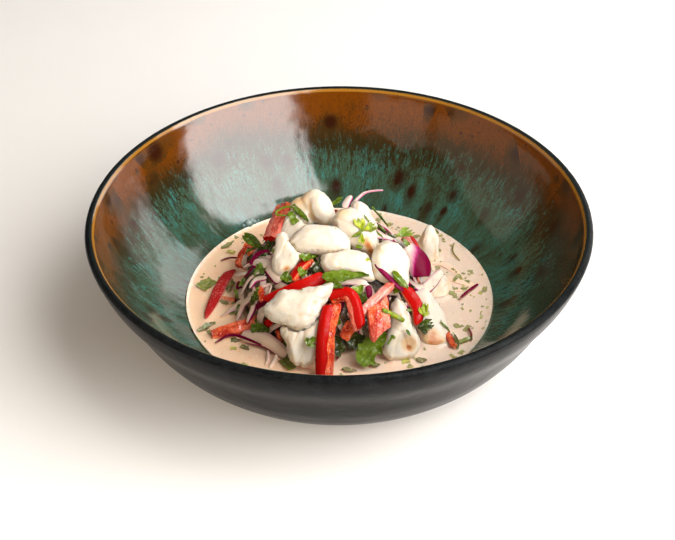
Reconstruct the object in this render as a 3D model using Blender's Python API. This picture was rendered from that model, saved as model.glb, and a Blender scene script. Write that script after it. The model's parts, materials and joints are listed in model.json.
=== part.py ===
"""A wide stoneware bowl of ceviche: a heap of sliced onion and herbs in a thin cream-coloured
broth, dressed with chunks of white fish, strips of red pepper and petals of red onion.

Lengths in the tables are millimetres and are scaled to metres where the shapes are made. The
origin is under the middle of the foot ring, +Z is up and the front of the dish faces -Y.
"""

import math

import bmesh
import bpy
from mathutils import Matrix, Vector, noise

MM = 0.001

# ---- the bowl -------------------------------------------------------------------------------
RIM_HEIGHT = 68.0           # top of the lip
LIP_INNER = 116.0           # radius of the lip's inner edge
LIP_OUTER = 120.8           # the widest radius of the bowl
LIP_DROP = 1.9              # how far below the top the lip's two edges lie
LIP_STEPS = 6
BROTH_LEVEL = 18.8          # height of the broth's surface
BROTH_RADIUS = 74.9         # where the broth meets the wall
FLOOR_HEIGHT = 9.0          # the middle of the inner floor
FOOT_INNER = 52.0
FOOT_OUTER = 60.0
FOOT_RECESS = 3.5           # how far the underside stands above the table
BOWL_SEGMENTS = 48
BROTH_SEGMENTS = 28

# radius and height of the wall's two faces, from the foot and the floor up to the lip
OUTER_WALL = [(FOOT_OUTER + 2.0, 2.0), (76.0, 6.6), (88.0, 13.0), (94.9, 20.0), (103.3, 32.0),
              (109.9, 44.0), (116.2, 54.0), (119.7, 62.0), (LIP_OUTER, RIM_HEIGHT - LIP_DROP)]
INNER_WALL = [(LIP_INNER, RIM_HEIGHT - LIP_DROP), (113.4, 60.0), (107.8, 50.0), (100.8, 40.0),
              (92.0, 30.0), (84.8, 24.0), (BROTH_RADIUS, BROTH_LEVEL), (62.0, 13.6), (46.0, 10.4),
              (26.0, FLOOR_HEIGHT + 0.2)]

# ---- the salad under the pieces -------------------------------------------------------------
HEAP_CENTRE = (-4.0, 0.0)
HEAP_RADIUS = 43.0
HEAP_BULGE = 4.5            # how much further out it reaches towards the bulge's bearing
HEAP_BULGE_BEARING = -40.0  # 0 is the front, 90 is +X
HEAP_TOP = 50.5
HEAP_BASE = 12.6
HEAP_FOOT_RADIUS = 37.0
HEAP_SEGMENTS = 22
HEAP_RINGS = 6
HEAP_LUMPS = 3.0            # height of the lumps on its surface

GAP = 0.3                   # air left between touching pieces
SWELL = 0.45                # how much a neighbour is swollen before it cuts a piece
MERGE = 0.01                # points closer than this are one point
SLIVER = 0.03               # edges shorter than this are closed up
LOBE_SEGMENTS = 14

# ---- chunks of fish -------------------------------------------------------------------------
# name: middle, bearing of the face (0 is the front, 90 is +X), tilt of the face above level, and
#       the lobes that make up the chunk: thickness, how far it stands forward, outline on the
#       face (right, up)
FISH = {
    "fish_top": ((-13, 20, 58), 0, 52, [
        (16, 0, [(-6, 4), (-3, 9), (1, 10), (6, 8), (10, 2), (11, -5), (9, -10), (3, -8), (-1, -4)]),
        (11, -1.5, [(-11, 2), (-8, 6), (-3, 7), (0, 2), (1, -8), (-4, -8), (-9, -3)])]),
    "fish_oval": ((-9, -8, 59), -5, 50, [
        (14, 0, [(-15, -2), (-13, 3), (-8, 7), (0, 8), (7, 7), (12, 4), (16, -3), (11, -7), (2, -7),
                 (-8, -7), (-13, -5)])]),
    "fish_back_shard": ((11, 21, 53), 15, 52, [
        (9, 0, [(-6, 3), (-2, 8), (3, 7), (5, 1), (6, -8), (1, -8), (-5, -3)])]),
    "fish_upper_right": ((8, 0, 57), 10, 52, [
        (15, 0, [(-10, 4), (-10, 10), (-5, 14), (2, 12), (8, 5), (11, -4), (8, -13), (1, -10),
                 (-6, -5)])]),
    "fish_right": ((24, -19, 53), 25, 45, [
        (13, 0, [(-7, 7), (-3, 11), (2, 12), (8, 8), (10, 1), (8, -7), (8, -15), (2, -12), (-6, -8),
                 (-10, -2)])]),
    "fish_middle": ((4, -20, 54), 0, 48, [
        (12, 0, [(-14, 0), (-12, 5), (-6, 6), (4, 7), (11, 3), (14, -4), (13, -9), (6, -8),
                 (-1, -5), (-9, -5)])]),
    "fish_left_upper": ((-22, 12, 54), -20, 50, [
        (8, 0, [(-5, 3), (-2, 7), (3, 5), (7, 0), (3, -5), (0, -10), (-5, -7)])]),
    "fish_left_flake": ((-25, -12, 54), -25, 42, [
        (9, 0, [(-8, 8), (-5, 11), (-1, 8), (5, 3), (10, 1), (6, -6), (1, -11), (-5, -9),
                (-6, -1)])]),
    "fish_front": ((-19, -42, 46), -8, 42, [
        (13, 0, [(-17, -3), (-12, 3), (-10, 7), (-2, 8), (8, 10), (17, 12), (12, 3), (9, -5),
                 (2, -12), (-8, -9), (-14, -7)])]),
    "fish_front_low": ((-17, -49, 31), -5, 38, [
        (14, 0, [(-4, 9), (2, 9), (7, 13), (9, 8), (7, -5), (4, -12), (-2, -11), (-4, 0)]),
        (12, 0.5, [(-11, 5), (-6, 9), (0, 9), (1, -4), (-1, -12), (-6, -9), (-8, -2)])]),
    "fish_rear_shard": ((45, 34, 27), 20, 20, [
        (8, 0, [(-4, -10), (-5, 0), (-2, 6), (2, 10), (5, 6), (5, -4), (4, -12), (-2, -13)])]),
    "fish_half_sunk": ((48, 6, 20), 20, 68, [
        (10, 0, [(-12, 0), (-6, 8), (2, 9), (7, 4), (7, -4), (0, -9), (-9, -6)])]),
    "fish_right_low": ((29, -40, 30), 15, 42, [
        (12, 0, [(-3, 12), (1, 16), (4, 12), (6, 3), (8, -9), (3, -14), (-8, -14), (-11, -8),
                 (-6, 2)])]),
    "fish_right_long": ((45, -26, 23.5), 30, 62, [
        (8, 0, [(-2, 20), (4, 20), (7, 10), (6, -3), (2, -14), (-6, -15), (-11, -7), (-7, 6)])]),
    "fish_rear_left": ((-20, 33, 39), 205, 42, [
        (13, 0, [(-12, -5), (-9, 5), (-1, 9), (8, 6), (11, -2), (5, -9), (-5, -8)])]),
    "fish_rear_middle": ((5, 41, 33), 178, 36, [
        (14, 0, [(-13, -2), (-8, 6), (1, 7), (10, 8), (13, 0), (7, -8), (-6, -7)])]),
    "fish_rear_right": ((26, 27, 28), 140, 40, [
        (12, 0, [(-8, -7), (-9, 3), (-3, 9), (5, 8), (8, 0), (6, -9)])]),
}

# ---- strips of red pepper -------------------------------------------------------------------
# name: three points along the middle, width, wall thickness, turn of the skin about the length,
#       and how wide the strip is at its two ends, as a share of its width. PEPPER_CUP is how
#       far each strip's sides sag below its middle
PEPPER_CUP = 0.6
PEPPERS = {
    "pepper_front": ((-3, -42, 47), (-6, -53, 38), (-7, -64, 20), 9.5, 5.5, -38, 0.8, 0.7),
    "pepper_arch": ((-4, -38, 48), (5, -40, 50), (9, -50, 39), 7.0, 4.5, 35, 0.6, 0.8),
    "pepper_bar": ((-7, -26, 51), (-20, -31, 48), (-34, -31, 41), 6.5, 4.5, -20, 0.85, 0.5),
    "pepper_sliver": ((-14, -14, 53), (-19, -20, 51), (-23, -25, 48), 5.0, 4.0, 25, 0.8, 0.7),
    "pepper_block": ((-26, 27, 55), (-29, 19, 53), (-33, 7, 49), 9.5, 5.0, 0, 0.8, 0.95),
    "pepper_wide": ((18, -37, 46), (16, -46, 41), (14, -52, 34), 11.0, 5.0, 8, 0.9, 0.6),
    "pepper_pink": ((24, -31, 50), (17, -38, 47), (10, -44, 43), 5.0, 4.5, 30, 0.7, 0.8),
    "pepper_hook": ((31, -26, 44), (37, -34, 38), (35, -41, 31), 7.0, 4.5, 25, 0.8, 0.15),
    "pepper_rear": ((33, 24, 37), (36, 20, 38), (39, 13, 36), 7.0, 4.5, 0, 0.8, 0.8),
    "pepper_dark": ((-43, 33, 26), (-46, 27, 26), (-50, 19, 22), 7.0, 4.0, 0, 0.7, 0.6),
    "pepper_afloat": ((-55, 19, 19.6), (-60, 2, 20.2), (-65, -18, 18.8), 6.5, 4.2, 0, 0.75, 0.1),
    "pepper_left": ((-61, -32, 20.0), (-48, -30, 22.5), (-33, -25, 26), 6.5, 4.5, 0, 0.5, 0.6),
    "pepper_behind": ((-8, 38, 42), (0, 34, 45), (9, 33, 42), 7.0, 4.5, 0, 0.8, 0.8),
    "pepper_back_low": ((-36, 36, 20), (-30, 40, 25), (-20, 45, 25), 7.5, 4.5, 0, 0.8, 0.7),
    "pepper_back_right": ((8, 52, 19.6), (16, 47, 24), (25, 41, 22), 6.5, 4.5, 0, 0.7, 0.8),
}

# ---- petals and slices of red onion ---------------------------------------------------------
# name: three points along the middle, width, thickness, turn about the length, how deeply the
#       section is cupped, and the share of the width left at the ends
ONIONS = {
    "onion_petal": ((33, -1, 51), (40, -8, 46), (40, -15, 39), 15.0, 2.8, -12, 2.5, 0.55),
    "onion_crescent": ((33, -9, 36), (41, -11, 32), (50, 0, 34), 6.5, 2.4, 0, 0.6, 0.3),
    "onion_left_arc": ((-43, -2, 38), (-35, -11, 44), (-28, -24, 43), 7.0, 2.2, 0, 1.0, 0.3),
    "onion_left_slice": ((-43, -38, 23), (-34, -43, 25), (-26, -50, 22), 8.5, 2.4, 0, 1.0, 0.5),
    "onion_behind": ((13, 37, 36), (21, 35, 36), (29, 33, 30), 8.0, 2.4, 0, 1.5, 0.3),
}

COLOURS = {
    "glaze": ((0.05, 0.07, 0.05, 1.0), 0.18),
    "broth": ((0.78, 0.56, 0.40, 1.0), 0.25),
    "salad": ((0.30, 0.26, 0.16, 1.0), 0.45),
    "fish": ((0.86, 0.76, 0.60, 1.0), 0.40),
    "pepper": ((0.55, 0.02, 0.01, 1.0), 0.28),
    "onion": ((0.42, 0.08, 0.22, 1.0), 0.25),
}


def clear_scene():
    for item in list(bpy.data.objects):
        bpy.data.objects.remove(item, do_unlink=True)


def make_material(name):
    colour, roughness = COLOURS[name]
    material = bpy.data.materials.new(name)
    material.use_nodes = True
    shader = material.node_tree.nodes["Principled BSDF"]
    shader.inputs["Base Color"].default_value = colour
    shader.inputs["Roughness"].default_value = roughness
    shader.inputs["Metallic"].default_value = 0.0
    return material


def spline(points, per_span, closed):
    """Points along a smooth curve through the given ones, per_span of them to a span."""
    count = len(points)
    result = []
    for index in range(count if closed else count - 1):
        before, start, end, after = (
            points[(index + step) % count] if closed else points[min(max(index + step, 0), count - 1)]
            for step in (-1, 0, 1, 2))
        for step in range(per_span):
            t = step / per_span
            result.append(0.5 * (2 * start + (end - before) * t
                                 + (2 * before - 5 * start + 4 * end - after) * t * t
                                 + (3 * start - before - 3 * end + after) * t ** 3))
    if not closed:
        result.append(points[-1].copy())
    return result


def even(points, count):
    """The same number of points, spaced evenly along a closed line."""
    lengths = [(points[(i + 1) % len(points)] - point).length for i, point in enumerate(points)]
    total = sum(lengths)
    result = []
    index = 0
    passed = 0.0
    for step in range(count):
        target = total * step / count
        while passed + lengths[index] < target:
            passed += lengths[index]
            index += 1
        part = (target - passed) / lengths[index]
        result.append(points[index].lerp(points[(index + 1) % len(points)], part))
    return result


def finish(name, mesh_maker, material):
    """An object made of one bmesh, in metres, with its faces turned outwards."""
    bm = bmesh.new()
    mesh_maker(bm)
    bmesh.ops.recalc_face_normals(bm, faces=bm.faces)
    bmesh.ops.scale(bm, vec=(MM, MM, MM), verts=bm.verts)
    mesh = bpy.data.meshes.new(name)
    bm.to_mesh(mesh)
    bm.free()
    mesh.shade_smooth()
    mesh.set_sharp_from_angle(angle=math.radians(50))
    mesh.materials.append(material)
    item = bpy.data.objects.new(name, mesh)
    bpy.context.scene.collection.objects.link(item)
    return item


def turn_profile(bm, profile, segments):
    """Spins (radius, height) points about Z. The first and the last may lie on the axis."""
    verts = [bm.verts.new((radius, 0.0, height)) for radius, height in profile]
    edges = [bm.edges.new(pair) for pair in zip(verts, verts[1:])]
    bmesh.ops.spin(bm, geom=verts + edges, angle=2 * math.pi, steps=segments, axis=(0, 0, 1),
                   cent=(0, 0, 0), use_merge=True)
    bmesh.ops.remove_doubles(bm, verts=bm.verts, dist=MERGE)


def bowl_mesh(bm):
    """The foot ring, the outer wall, a half-round lip, the inner wall and the floor."""
    lip = []
    middle = (LIP_INNER + LIP_OUTER) / 2
    half = (LIP_OUTER - LIP_INNER) / 2
    for step in range(1, LIP_STEPS):
        angle = math.pi * step / LIP_STEPS
        lip.append((middle + half * math.cos(angle),
                    RIM_HEIGHT - LIP_DROP * (1 - math.sin(angle))))
    profile = [(0.0, FOOT_RECESS + 0.6), (FOOT_INNER - 4.0, FOOT_RECESS), (FOOT_INNER, 0.6),
               (FOOT_INNER + 1.5, 0.0), (FOOT_OUTER - 1.5, 0.0)]
    profile += OUTER_WALL
    profile += lip
    profile += INNER_WALL
    profile.append((0.0, FLOOR_HEIGHT))
    turn_profile(bm, profile, BOWL_SEGMENTS)


def broth_mesh(bm):
    """The pool in the bottom of the bowl, clear of the wall and the floor by the gap."""
    under = [(radius - 2 * GAP, height + GAP) for radius, height in INNER_WALL
             if height < BROTH_LEVEL - 1.0]
    profile = [(0.0, BROTH_LEVEL), (BROTH_RADIUS - 2 * GAP, BROTH_LEVEL)]
    profile += under
    profile.append((0.0, FLOOR_HEIGHT + 2 * GAP))
    turn_profile(bm, profile, BROTH_SEGMENTS)


def heap_mesh(bm):
    """A lumpy dome on a narrower foot that stands in the broth, wider to one side."""
    profile = []
    for ring in range(HEAP_RINGS):
        angle = math.pi / 2 * ring / HEAP_RINGS
        profile.append((HEAP_RADIUS * math.sin(angle) ** 0.9,
                        BROTH_LEVEL + (HEAP_TOP - BROTH_LEVEL) * math.cos(angle) ** 0.8))
    profile.append((HEAP_RADIUS, BROTH_LEVEL))
    profile.append((HEAP_FOOT_RADIUS, HEAP_BASE))
    profile.append((0.0, HEAP_BASE))
    turn_profile(bm, profile, HEAP_SEGMENTS)
    bearing = math.radians(HEAP_BULGE_BEARING)
    bulge = Vector((math.sin(bearing), -math.cos(bearing), 0.0))
    for vert in bm.verts:
        if vert.co.z > HEAP_BASE + 0.1:
            level = Vector((vert.co.x, vert.co.y, 0.0))
            outward = Vector((vert.co.x, vert.co.y, vert.co.z - HEAP_BASE)).normalized()
            lump = noise.noise(vert.co / 11.0) + 0.5 * noise.noise(vert.co / 5.0)
            vert.co += outward * HEAP_LUMPS * lump
            vert.co += level * max(0.0, level.normalized().dot(bulge)) * HEAP_BULGE / HEAP_RADIUS
    bmesh.ops.translate(bm, verts=bm.verts, vec=(*HEAP_CENTRE, 0.0))


def face_axes(bearing, tilt):
    """Right, up and outward directions of a face that looks along a bearing, tilted upwards."""
    turn = math.radians(bearing)
    lift = math.radians(tilt)
    outward = Vector((math.sin(turn) * math.cos(lift), -math.cos(turn) * math.cos(lift),
                      math.sin(lift)))
    right = Vector((math.cos(turn), math.sin(turn), 0.0))
    return right, outward.cross(right), outward


def lobe_mesh(bm, middle, axes, outline, thickness):
    """A plump lump with the given outline: rings that draw in and rise towards its middle."""
    around = LOBE_SEGMENTS
    right, up, outward = axes
    line = even(spline([Vector(point) for point in outline], 4, True), around)
    hub = sum(line, Vector((0.0, 0.0))) / around
    rings = []
    for side, share in ((1, 0.5), (1, 0.85), (0, 1.0), (-1, 0.85), (-1, 0.5)):
        height = side * thickness / 2 * (1 - share ** 2.4) ** (1 / 2.4) if share < 1 else 0.0
        rings.append([bm.verts.new(middle + right * point.x + up * point.y + outward * height)
                      for point in (hub.lerp(point, share) for point in line)])
    caps = [bm.verts.new(middle + right * hub.x + up * hub.y + outward * side * thickness / 2)
            for side in (1, -1)]
    for upper, lower in zip(rings, rings[1:]):
        for index in range(around):
            after = (index + 1) % around
            bm.faces.new((upper[index], upper[after], lower[after], lower[index]))
    for index in range(around):
        after = (index + 1) % around
        bm.faces.new((caps[0], rings[0][after], rings[0][index]))
        bm.faces.new((caps[1], rings[-1][index], rings[-1][after]))


def heap_normal(point):
    """The direction away from the middle of the heap, which a lying piece faces."""
    away = Vector((point.x - HEAP_CENTRE[0], point.y - HEAP_CENTRE[1], (point.z - 4.0) * 1.1))
    return away.normalized()


# the section of a strip, across and outwards, as shares of half its width and thickness
SECTION = [(-1, -0.5), (-0.92, 0.7), (-0.4, 1), (0.4, 1), (0.92, 0.7), (1, -0.5), (0.5, -1),
           (-0.5, -1)]


def strip_mesh(bm, points, width, thickness, turn, cup, ends):
    """A strip along a smooth line: a rounded section, cupped across and drawn in at both ends."""
    line = spline([Vector(point) for point in points], 3, False)
    rings = []
    for index, point in enumerate(line):
        along = (line[min(index + 1, len(line) - 1)] - line[max(index - 1, 0)]).normalized()
        outward = heap_normal(point)
        outward = (outward - along * outward.dot(along)).normalized()
        outward.rotate(Matrix.Rotation(math.radians(turn), 3, along))
        across = along.cross(outward)
        place = 2 * index / (len(line) - 1) - 1
        blunt = ends[0] if place < 0 else ends[1]
        size = blunt + (1 - blunt) * math.sqrt(max(0.0, 1 - abs(place) ** 2.5))
        half = width / 2 * size
        deep = thickness / 2 * (0.5 + 0.5 * size)
        ring = []
        for side, height in SECTION:
            sag = cup * size * side * side
            ring.append(bm.verts.new(point + across * half * side + outward * (deep * height - sag)))
        rings.append(ring)
    count = len(rings[0])
    for first, second in zip(rings, rings[1:]):
        for index in range(count):
            after = (index + 1) % count
            bm.faces.new((first[index], first[after], second[after], second[index]))
    bm.faces.new(rings[0])
    bm.faces.new(rings[-1])


def make_fish(name, material):
    middle, bearing, tilt, lobes = FISH[name]
    axes = face_axes(bearing, tilt)
    lumps = []
    for thickness, forward, outline in lobes:
        centre = Vector(middle) + axes[2] * forward

        def lobe(bm, centre=centre, outline=outline, thickness=thickness):
            lobe_mesh(bm, centre, axes, outline, thickness)
        lumps.append(finish(name if not lumps else name + "_lobe", lobe, material))
    for other in lumps[1:]:
        combine(lumps[0], other, "UNION", "EXACT")
        bpy.data.objects.remove(other, do_unlink=True)
    return lumps[0]


def make_pepper(name, material):
    start, middle, end, width, thickness, turn, *ends = PEPPERS[name]
    return finish(name, lambda bm: strip_mesh(bm, (start, middle, end), width, thickness, turn,
                                              PEPPER_CUP, ends), material)


def make_onion(name, material):
    start, middle, end, width, thickness, turn, cup, tip = ONIONS[name]
    return finish(name, lambda bm: strip_mesh(bm, (start, middle, end), width, thickness, turn,
                                              cup, (tip, tip)), material)


def bake_modifiers(item):
    """Puts the result of an object's modifiers into its mesh."""
    graph = bpy.context.evaluated_depsgraph_get()
    mesh = bpy.data.meshes.new_from_object(item.evaluated_get(graph))
    item.modifiers.clear()
    item.data = mesh
    mesh.name = item.name


def combine(item, other, operation, solver):
    modifier = item.modifiers.new("join", "BOOLEAN")
    modifier.operation = operation
    modifier.solver = solver
    modifier.object = other
    bpy.context.view_layer.update()
    bake_modifiers(item)


def swollen_copy(item):
    """A copy whose surface stands out by the gap that touching pieces keep."""
    copy = bpy.data.objects.new(item.name + "_cutter", item.data.copy())
    bpy.context.scene.collection.objects.link(copy)
    bm = bmesh.new()
    bm.from_mesh(copy.data)
    bm.normal_update()
    shifts = [(vert, vert.normal * SWELL * MM) for vert in bm.verts]
    for vert, shift in shifts:
        vert.co += shift
    bm.to_mesh(copy.data)
    bm.free()
    copy.hide_render = True
    copy.display_type = "WIRE"
    return copy


def boxes_meet(first, second):
    margin = SWELL * MM
    for axis in range(3):
        a = [vert.co[axis] for vert in first.data.vertices]
        b = [vert.co[axis] for vert in second.data.vertices]
        if max(a) + margin < min(b) or max(b) + margin < min(a):
            return False
    return True


def keep_largest(item):
    """Drops the crumbs that a cut leaves, so that one closed body remains."""
    bm = bmesh.new()
    bm.from_mesh(item.data)
    bmesh.ops.remove_doubles(bm, verts=bm.verts, dist=MERGE * MM)
    bmesh.ops.dissolve_degenerate(bm, edges=bm.edges, dist=SLIVER * MM)
    bmesh.ops.triangulate(bm, faces=bm.faces)
    unseen = set(bm.verts)
    parts = []
    while unseen:
        stack = [unseen.pop()]
        part = set(stack)
        while stack:
            for edge in stack.pop().link_edges:
                for vert in edge.verts:
                    if vert in unseen:
                        unseen.discard(vert)
                        part.add(vert)
                        stack.append(vert)
        parts.append(part)
    parts.sort(key=len)
    for part in parts[:-1]:
        bmesh.ops.delete(bm, geom=list(part), context="VERTS")
    bm.to_mesh(item.data)
    bm.free()


def fit_together(items):
    """Each piece gives way to those before it in the list, which are nearer the top. So many
    cuts meet in the salad that the exact solver leaves it open, so the cuts use the other one."""
    for index, item in enumerate(items):
        for other in items[:index]:
            if boxes_meet(item, other):
                cutter = swollen_copy(other)
                combine(item, cutter, "DIFFERENCE", "MANIFOLD")
                bpy.data.objects.remove(cutter, do_unlink=True)
                keep_largest(item)


def main():
    clear_scene()
    materials = {name: make_material(name) for name in COLOURS}
    pieces = [make_pepper(name, materials["pepper"]) for name in PEPPERS]
    pieces += [make_onion(name, materials["onion"]) for name in ONIONS]
    pieces += [make_fish(name, materials["fish"]) for name in FISH]
    pieces.append(finish("salad", heap_mesh, materials["salad"]))
    pieces.append(finish("broth", broth_mesh, materials["broth"]))
    fit_together(pieces)
    finish("bowl", bowl_mesh, materials["glaze"])


main()
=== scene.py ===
"""The looks of a stoneware bowl of ceviche: reactive glaze, cream-coloured broth, flaked white fish,
strips of red pepper, petals and slices of red onion, leaves and chopped herbs.

Lengths are millimetres unless a comment says otherwise, and each piece is brought to metres when
it is kept. The origin is under the middle of the foot ring, +Z is up and the front of the dish
faces -Y.
"""

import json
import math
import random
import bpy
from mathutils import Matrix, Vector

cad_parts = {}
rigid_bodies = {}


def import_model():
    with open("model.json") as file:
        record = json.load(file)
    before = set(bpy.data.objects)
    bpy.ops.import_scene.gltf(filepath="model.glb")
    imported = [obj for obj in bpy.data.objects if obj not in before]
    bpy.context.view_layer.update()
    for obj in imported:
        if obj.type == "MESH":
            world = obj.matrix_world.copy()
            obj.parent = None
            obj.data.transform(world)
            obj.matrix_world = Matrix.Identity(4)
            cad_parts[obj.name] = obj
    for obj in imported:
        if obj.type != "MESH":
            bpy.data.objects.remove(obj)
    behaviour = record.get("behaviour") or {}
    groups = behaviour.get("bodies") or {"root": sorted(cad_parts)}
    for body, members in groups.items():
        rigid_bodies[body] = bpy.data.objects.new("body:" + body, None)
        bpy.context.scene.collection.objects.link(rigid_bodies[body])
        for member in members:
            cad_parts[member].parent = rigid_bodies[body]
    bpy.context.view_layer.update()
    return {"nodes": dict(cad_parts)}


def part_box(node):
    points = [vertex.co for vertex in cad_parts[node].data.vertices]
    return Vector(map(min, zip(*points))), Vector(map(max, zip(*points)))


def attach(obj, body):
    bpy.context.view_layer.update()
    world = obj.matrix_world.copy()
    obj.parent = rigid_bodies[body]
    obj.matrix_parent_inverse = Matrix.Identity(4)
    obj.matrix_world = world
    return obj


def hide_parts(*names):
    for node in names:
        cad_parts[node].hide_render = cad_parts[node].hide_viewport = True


bl_info = {
    "name": "Ceviche",
    "version": (1, 0, 0),
    "blender": (4, 5, 0),
    "location": "3D View > Sidebar > Ceviche",
    "description": "A glazed stoneware bowl of ceviche with fish, pepper, onion, herbs and broth",
    "category": "Add Mesh",
}

import bmesh
import bpy
from bpy.props import FloatProperty, FloatVectorProperty, IntProperty, PointerProperty
from mathutils import Matrix, Vector, noise
from mathutils.bvhtree import BVHTree
from mathutils.kdtree import KDTree

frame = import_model()
MM = 0.001

# ---- the bowl: radius and height along its wall -----------------------------------------------
RIM_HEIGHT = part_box("bowl")[1].z / MM
LIP_INNER = 116.0
LIP_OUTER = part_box("bowl")[1].x / MM
LIP_EDGE = 66.1             # height of the lip's two edges
BROTH_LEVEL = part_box("broth")[1].z / MM
BROTH_RADIUS = 74.9
UNDERSIDE = [(0.0, 4.1), (30.0, 3.9), (46.0, 3.5), (50.0, 3.0), (52.4, 0.9), (53.6, 0.1), (55.0, 0.0),
             (58.0, 0.0), (59.6, 0.2), (60.8, 0.9), (62.2, 2.0)]
OUTER_WALL = [(68.0, 4.1), (76.0, 6.6), (82.5, 9.5), (88.0, 13.0), (94.9, 20.0), (99.4, 26.0),
              (103.3, 32.0), (109.9, 44.0), (116.2, 54.0), (119.7, 62.0)]
FLOOR_HEIGHT = 9.0
GLAZE_EDGE = 118.6          # the coloured glaze ends here, on top of the lip
LIP = [(LIP_OUTER, LIP_EDGE), (120.3, 67.3), (118.9, RIM_HEIGHT), (117.3, 67.6), (LIP_INNER, LIP_EDGE)]
INNER_WALL = [(115.2, 64.0), (113.4, 60.0), (107.8, 50.0), (100.8, 40.0), (92.0, 30.0), (84.8, 24.0),
              (BROTH_RADIUS, BROTH_LEVEL), (62.0, 13.6), (46.0, 10.4), (26.0, 9.2), (0.0, FLOOR_HEIGHT)]
BOWL_STEPS = 264
WALL_SPAN_POINTS = 5
WALL_LENGTH = 63.0          # down the wall from the lip to the broth
BROTH_STEPS = 280
BROTH_RINGS = 100
BROTH_OVERLAP = 0.5         # how far the broth reaches into the wall
BROTH_DEPTH = 3.0
WALL_CREEP = 0.8            # how high the broth creeps up the wall
FOOD_CREEP = 1.3            # and up what stands in it
AFLOAT = 1.5                # a piece that lies no higher than this over the broth floats on it
# the paler band is painted sheen on the lip's outer edge
PAINTED_LIP_SHEEN = (65.5, 66.9)     # heights between which the outside of the lip turns paler
# heights over which the bubbles' painted reflection grows paler
BUBBLE_HEIGHTS = (20.3, 22.4)

# ---- the heap ---------------------------------------------------------------------------------
HEAP_CENTRE = Vector((-4.0, 0.0, 4.0))
OUTSIDE = 90.0              # clear of all the food
SALAD_VOXEL = 1.0
SALAD_PASSES = 3            # times the core is softened
SALAD_SHRINK = 2.4          # how far the core lies inside the heap's outline
FISH_VOXEL = 0.5
FISH_PASSES = 6             # times a chunk is softened
FISH_FLATS = 16             # soft flats on each chunk
FLAT_REACH = (5.0, 9.0)     # smallest and largest flat
FLAT_FADE = 2.2             # what lies further than this from a flat is left as it is
PRESS_SHARE = 0.85          # how much of what stands out is pressed in
LUMP_SIZE = 8.0
FLAKE_LENGTH = 2.6          # a flake's length and thickness, as shares of its width
FLAKE_THICKNESS = 1.4
CREASE_WIDTH = 0.13
NOISE_SEED = 5              # the same shapes and scatter each time
PEPPER_SEED = 31
ONION_SEED = 12
HERB_SEED = 7
SLICE_ENDS = (0.25, 0.3)    # width of a slice's two ends, as a share of its own
LOOSE_PURPLES = (0.2, 0.4, 0.7, 1.0, 1.9)
LOW_LAYER = 26.0            # layers and slices lower than these are soaked with broth
LOW_SLICE = 34.0
LEAF_HALF_THICKNESS = 0.14
LEAF_LEAN = Vector((0, -0.15, 0.3))     # leaves face more forwards and up than the heap does
LEAF_TONES = (0.1, 0.2, 0.35, 0.5)
# turn and length of the three fronds of a parsley leaf
FRONDS = ((-46, 0.7), (0, 1.0), (44, 0.74))
CRUMB_SIZES = (0.4, 0.5, 0.6, 0.8, 1.0, 1.4)
CRUMB_TONES = (0.45, 0.55, 0.6, 0.75)
# what leaves and stalks lie on: how its names start
UNDER_LEAVES = ("flaked_fish", "pepper_", "red_onion", "onion_", "salad_heap", "cream_broth")
# cuts along the length, the width and the thickness of each kind of piece
CUTS = {
    "pepper": (46, 15, 7), "pepper bit": (12, 5, 3), "onion": (44, 17, 2), "slice": (20, 9, 0),
    "loose slice": (8, 2, 0), "leaf": (16, 14, 0), "stalk": (24, 2, 2), "loose leaf": (7, 3, 0),
    "crumb": (3, 2, 0),
}

# ---- the pieces that are cut from a strip -----------------------------------------------------
# name: three points along the middle, width, wall thickness, turn about the length, how wide the
#       two ends are as a share of the width
PEPPERS = {
    "pepper_front": ((-3, -42, 47), (-6, -53, 38), (-7, -64, 20), 9.5, 5.5, -38, 0.8, 0.7),
    "pepper_arch": ((-4, -38, 48), (5, -40, 50), (9, -50, 39), 7.0, 4.5, 35, 0.6, 0.8),
    "pepper_bar": ((-7, -26, 51), (-20, -31, 48), (-34, -31, 41), 6.5, 4.5, -20, 0.85, 0.5),
    "pepper_sliver": ((-14, -14, 53), (-19, -20, 51), (-23, -25, 48), 5.0, 4.0, 25, 0.8, 0.7),
    "pepper_block": ((-26, 27, 55), (-29, 19, 53), (-33, 7, 49), 10.4, 5.0, 0, 0.75, 1.0),
    "pepper_wide": ((17.6, -41, 46.2), (18.4, -47, 42), (19, -51, 36.5), 10.6, 4.0, 8, 0.95, 0.62),
    "pepper_pink": ((24, -31, 50), (17, -38, 47), (10, -44, 43), 4.2, 3.6, 30, 0.7, 0.8),
    "pepper_hook": ((31, -26, 44), (37, -34, 38), (36, -40, 33), 5.8, 3.8, 25, 0.8, 0.12),
    "pepper_rear": ((33, 24, 37), (36, 20, 38), (39, 13, 36), 7.0, 4.5, 0, 0.8, 0.8),
    "pepper_dark": ((-44, 30, 29), (-46.5, 24, 28.5), (-49.5, 17, 25.5), 6.6, 3.4, -70, 0.85, 0.75),
    "pepper_afloat": ((-55, 19, 19.6), (-60, 2, 20.2), (-65, -18, 18.8), 5.6, 4.2, 0, 0.95, 0.1),
    "pepper_left": ((-61, -30.6, 20.2), (-48, -28.8, 22.6), (-33, -24, 26), 6.5, 4.5, 0, 0.5, 0.6),
    "pepper_behind": ((-8, 38, 42), (0, 34, 45), (9, 33, 42), 7.0, 4.5, 0, 0.8, 0.8),
    "pepper_back_low": ((-36, 36, 20), (-30, 40, 25), (-20, 45, 25), 7.5, 4.5, 0, 0.8, 0.7),
    "pepper_back_right": ((8, 52, 19.6), (16, 47, 24), (25, 41, 22), 6.5, 4.5, 0, 0.7, 0.8),
}
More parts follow.
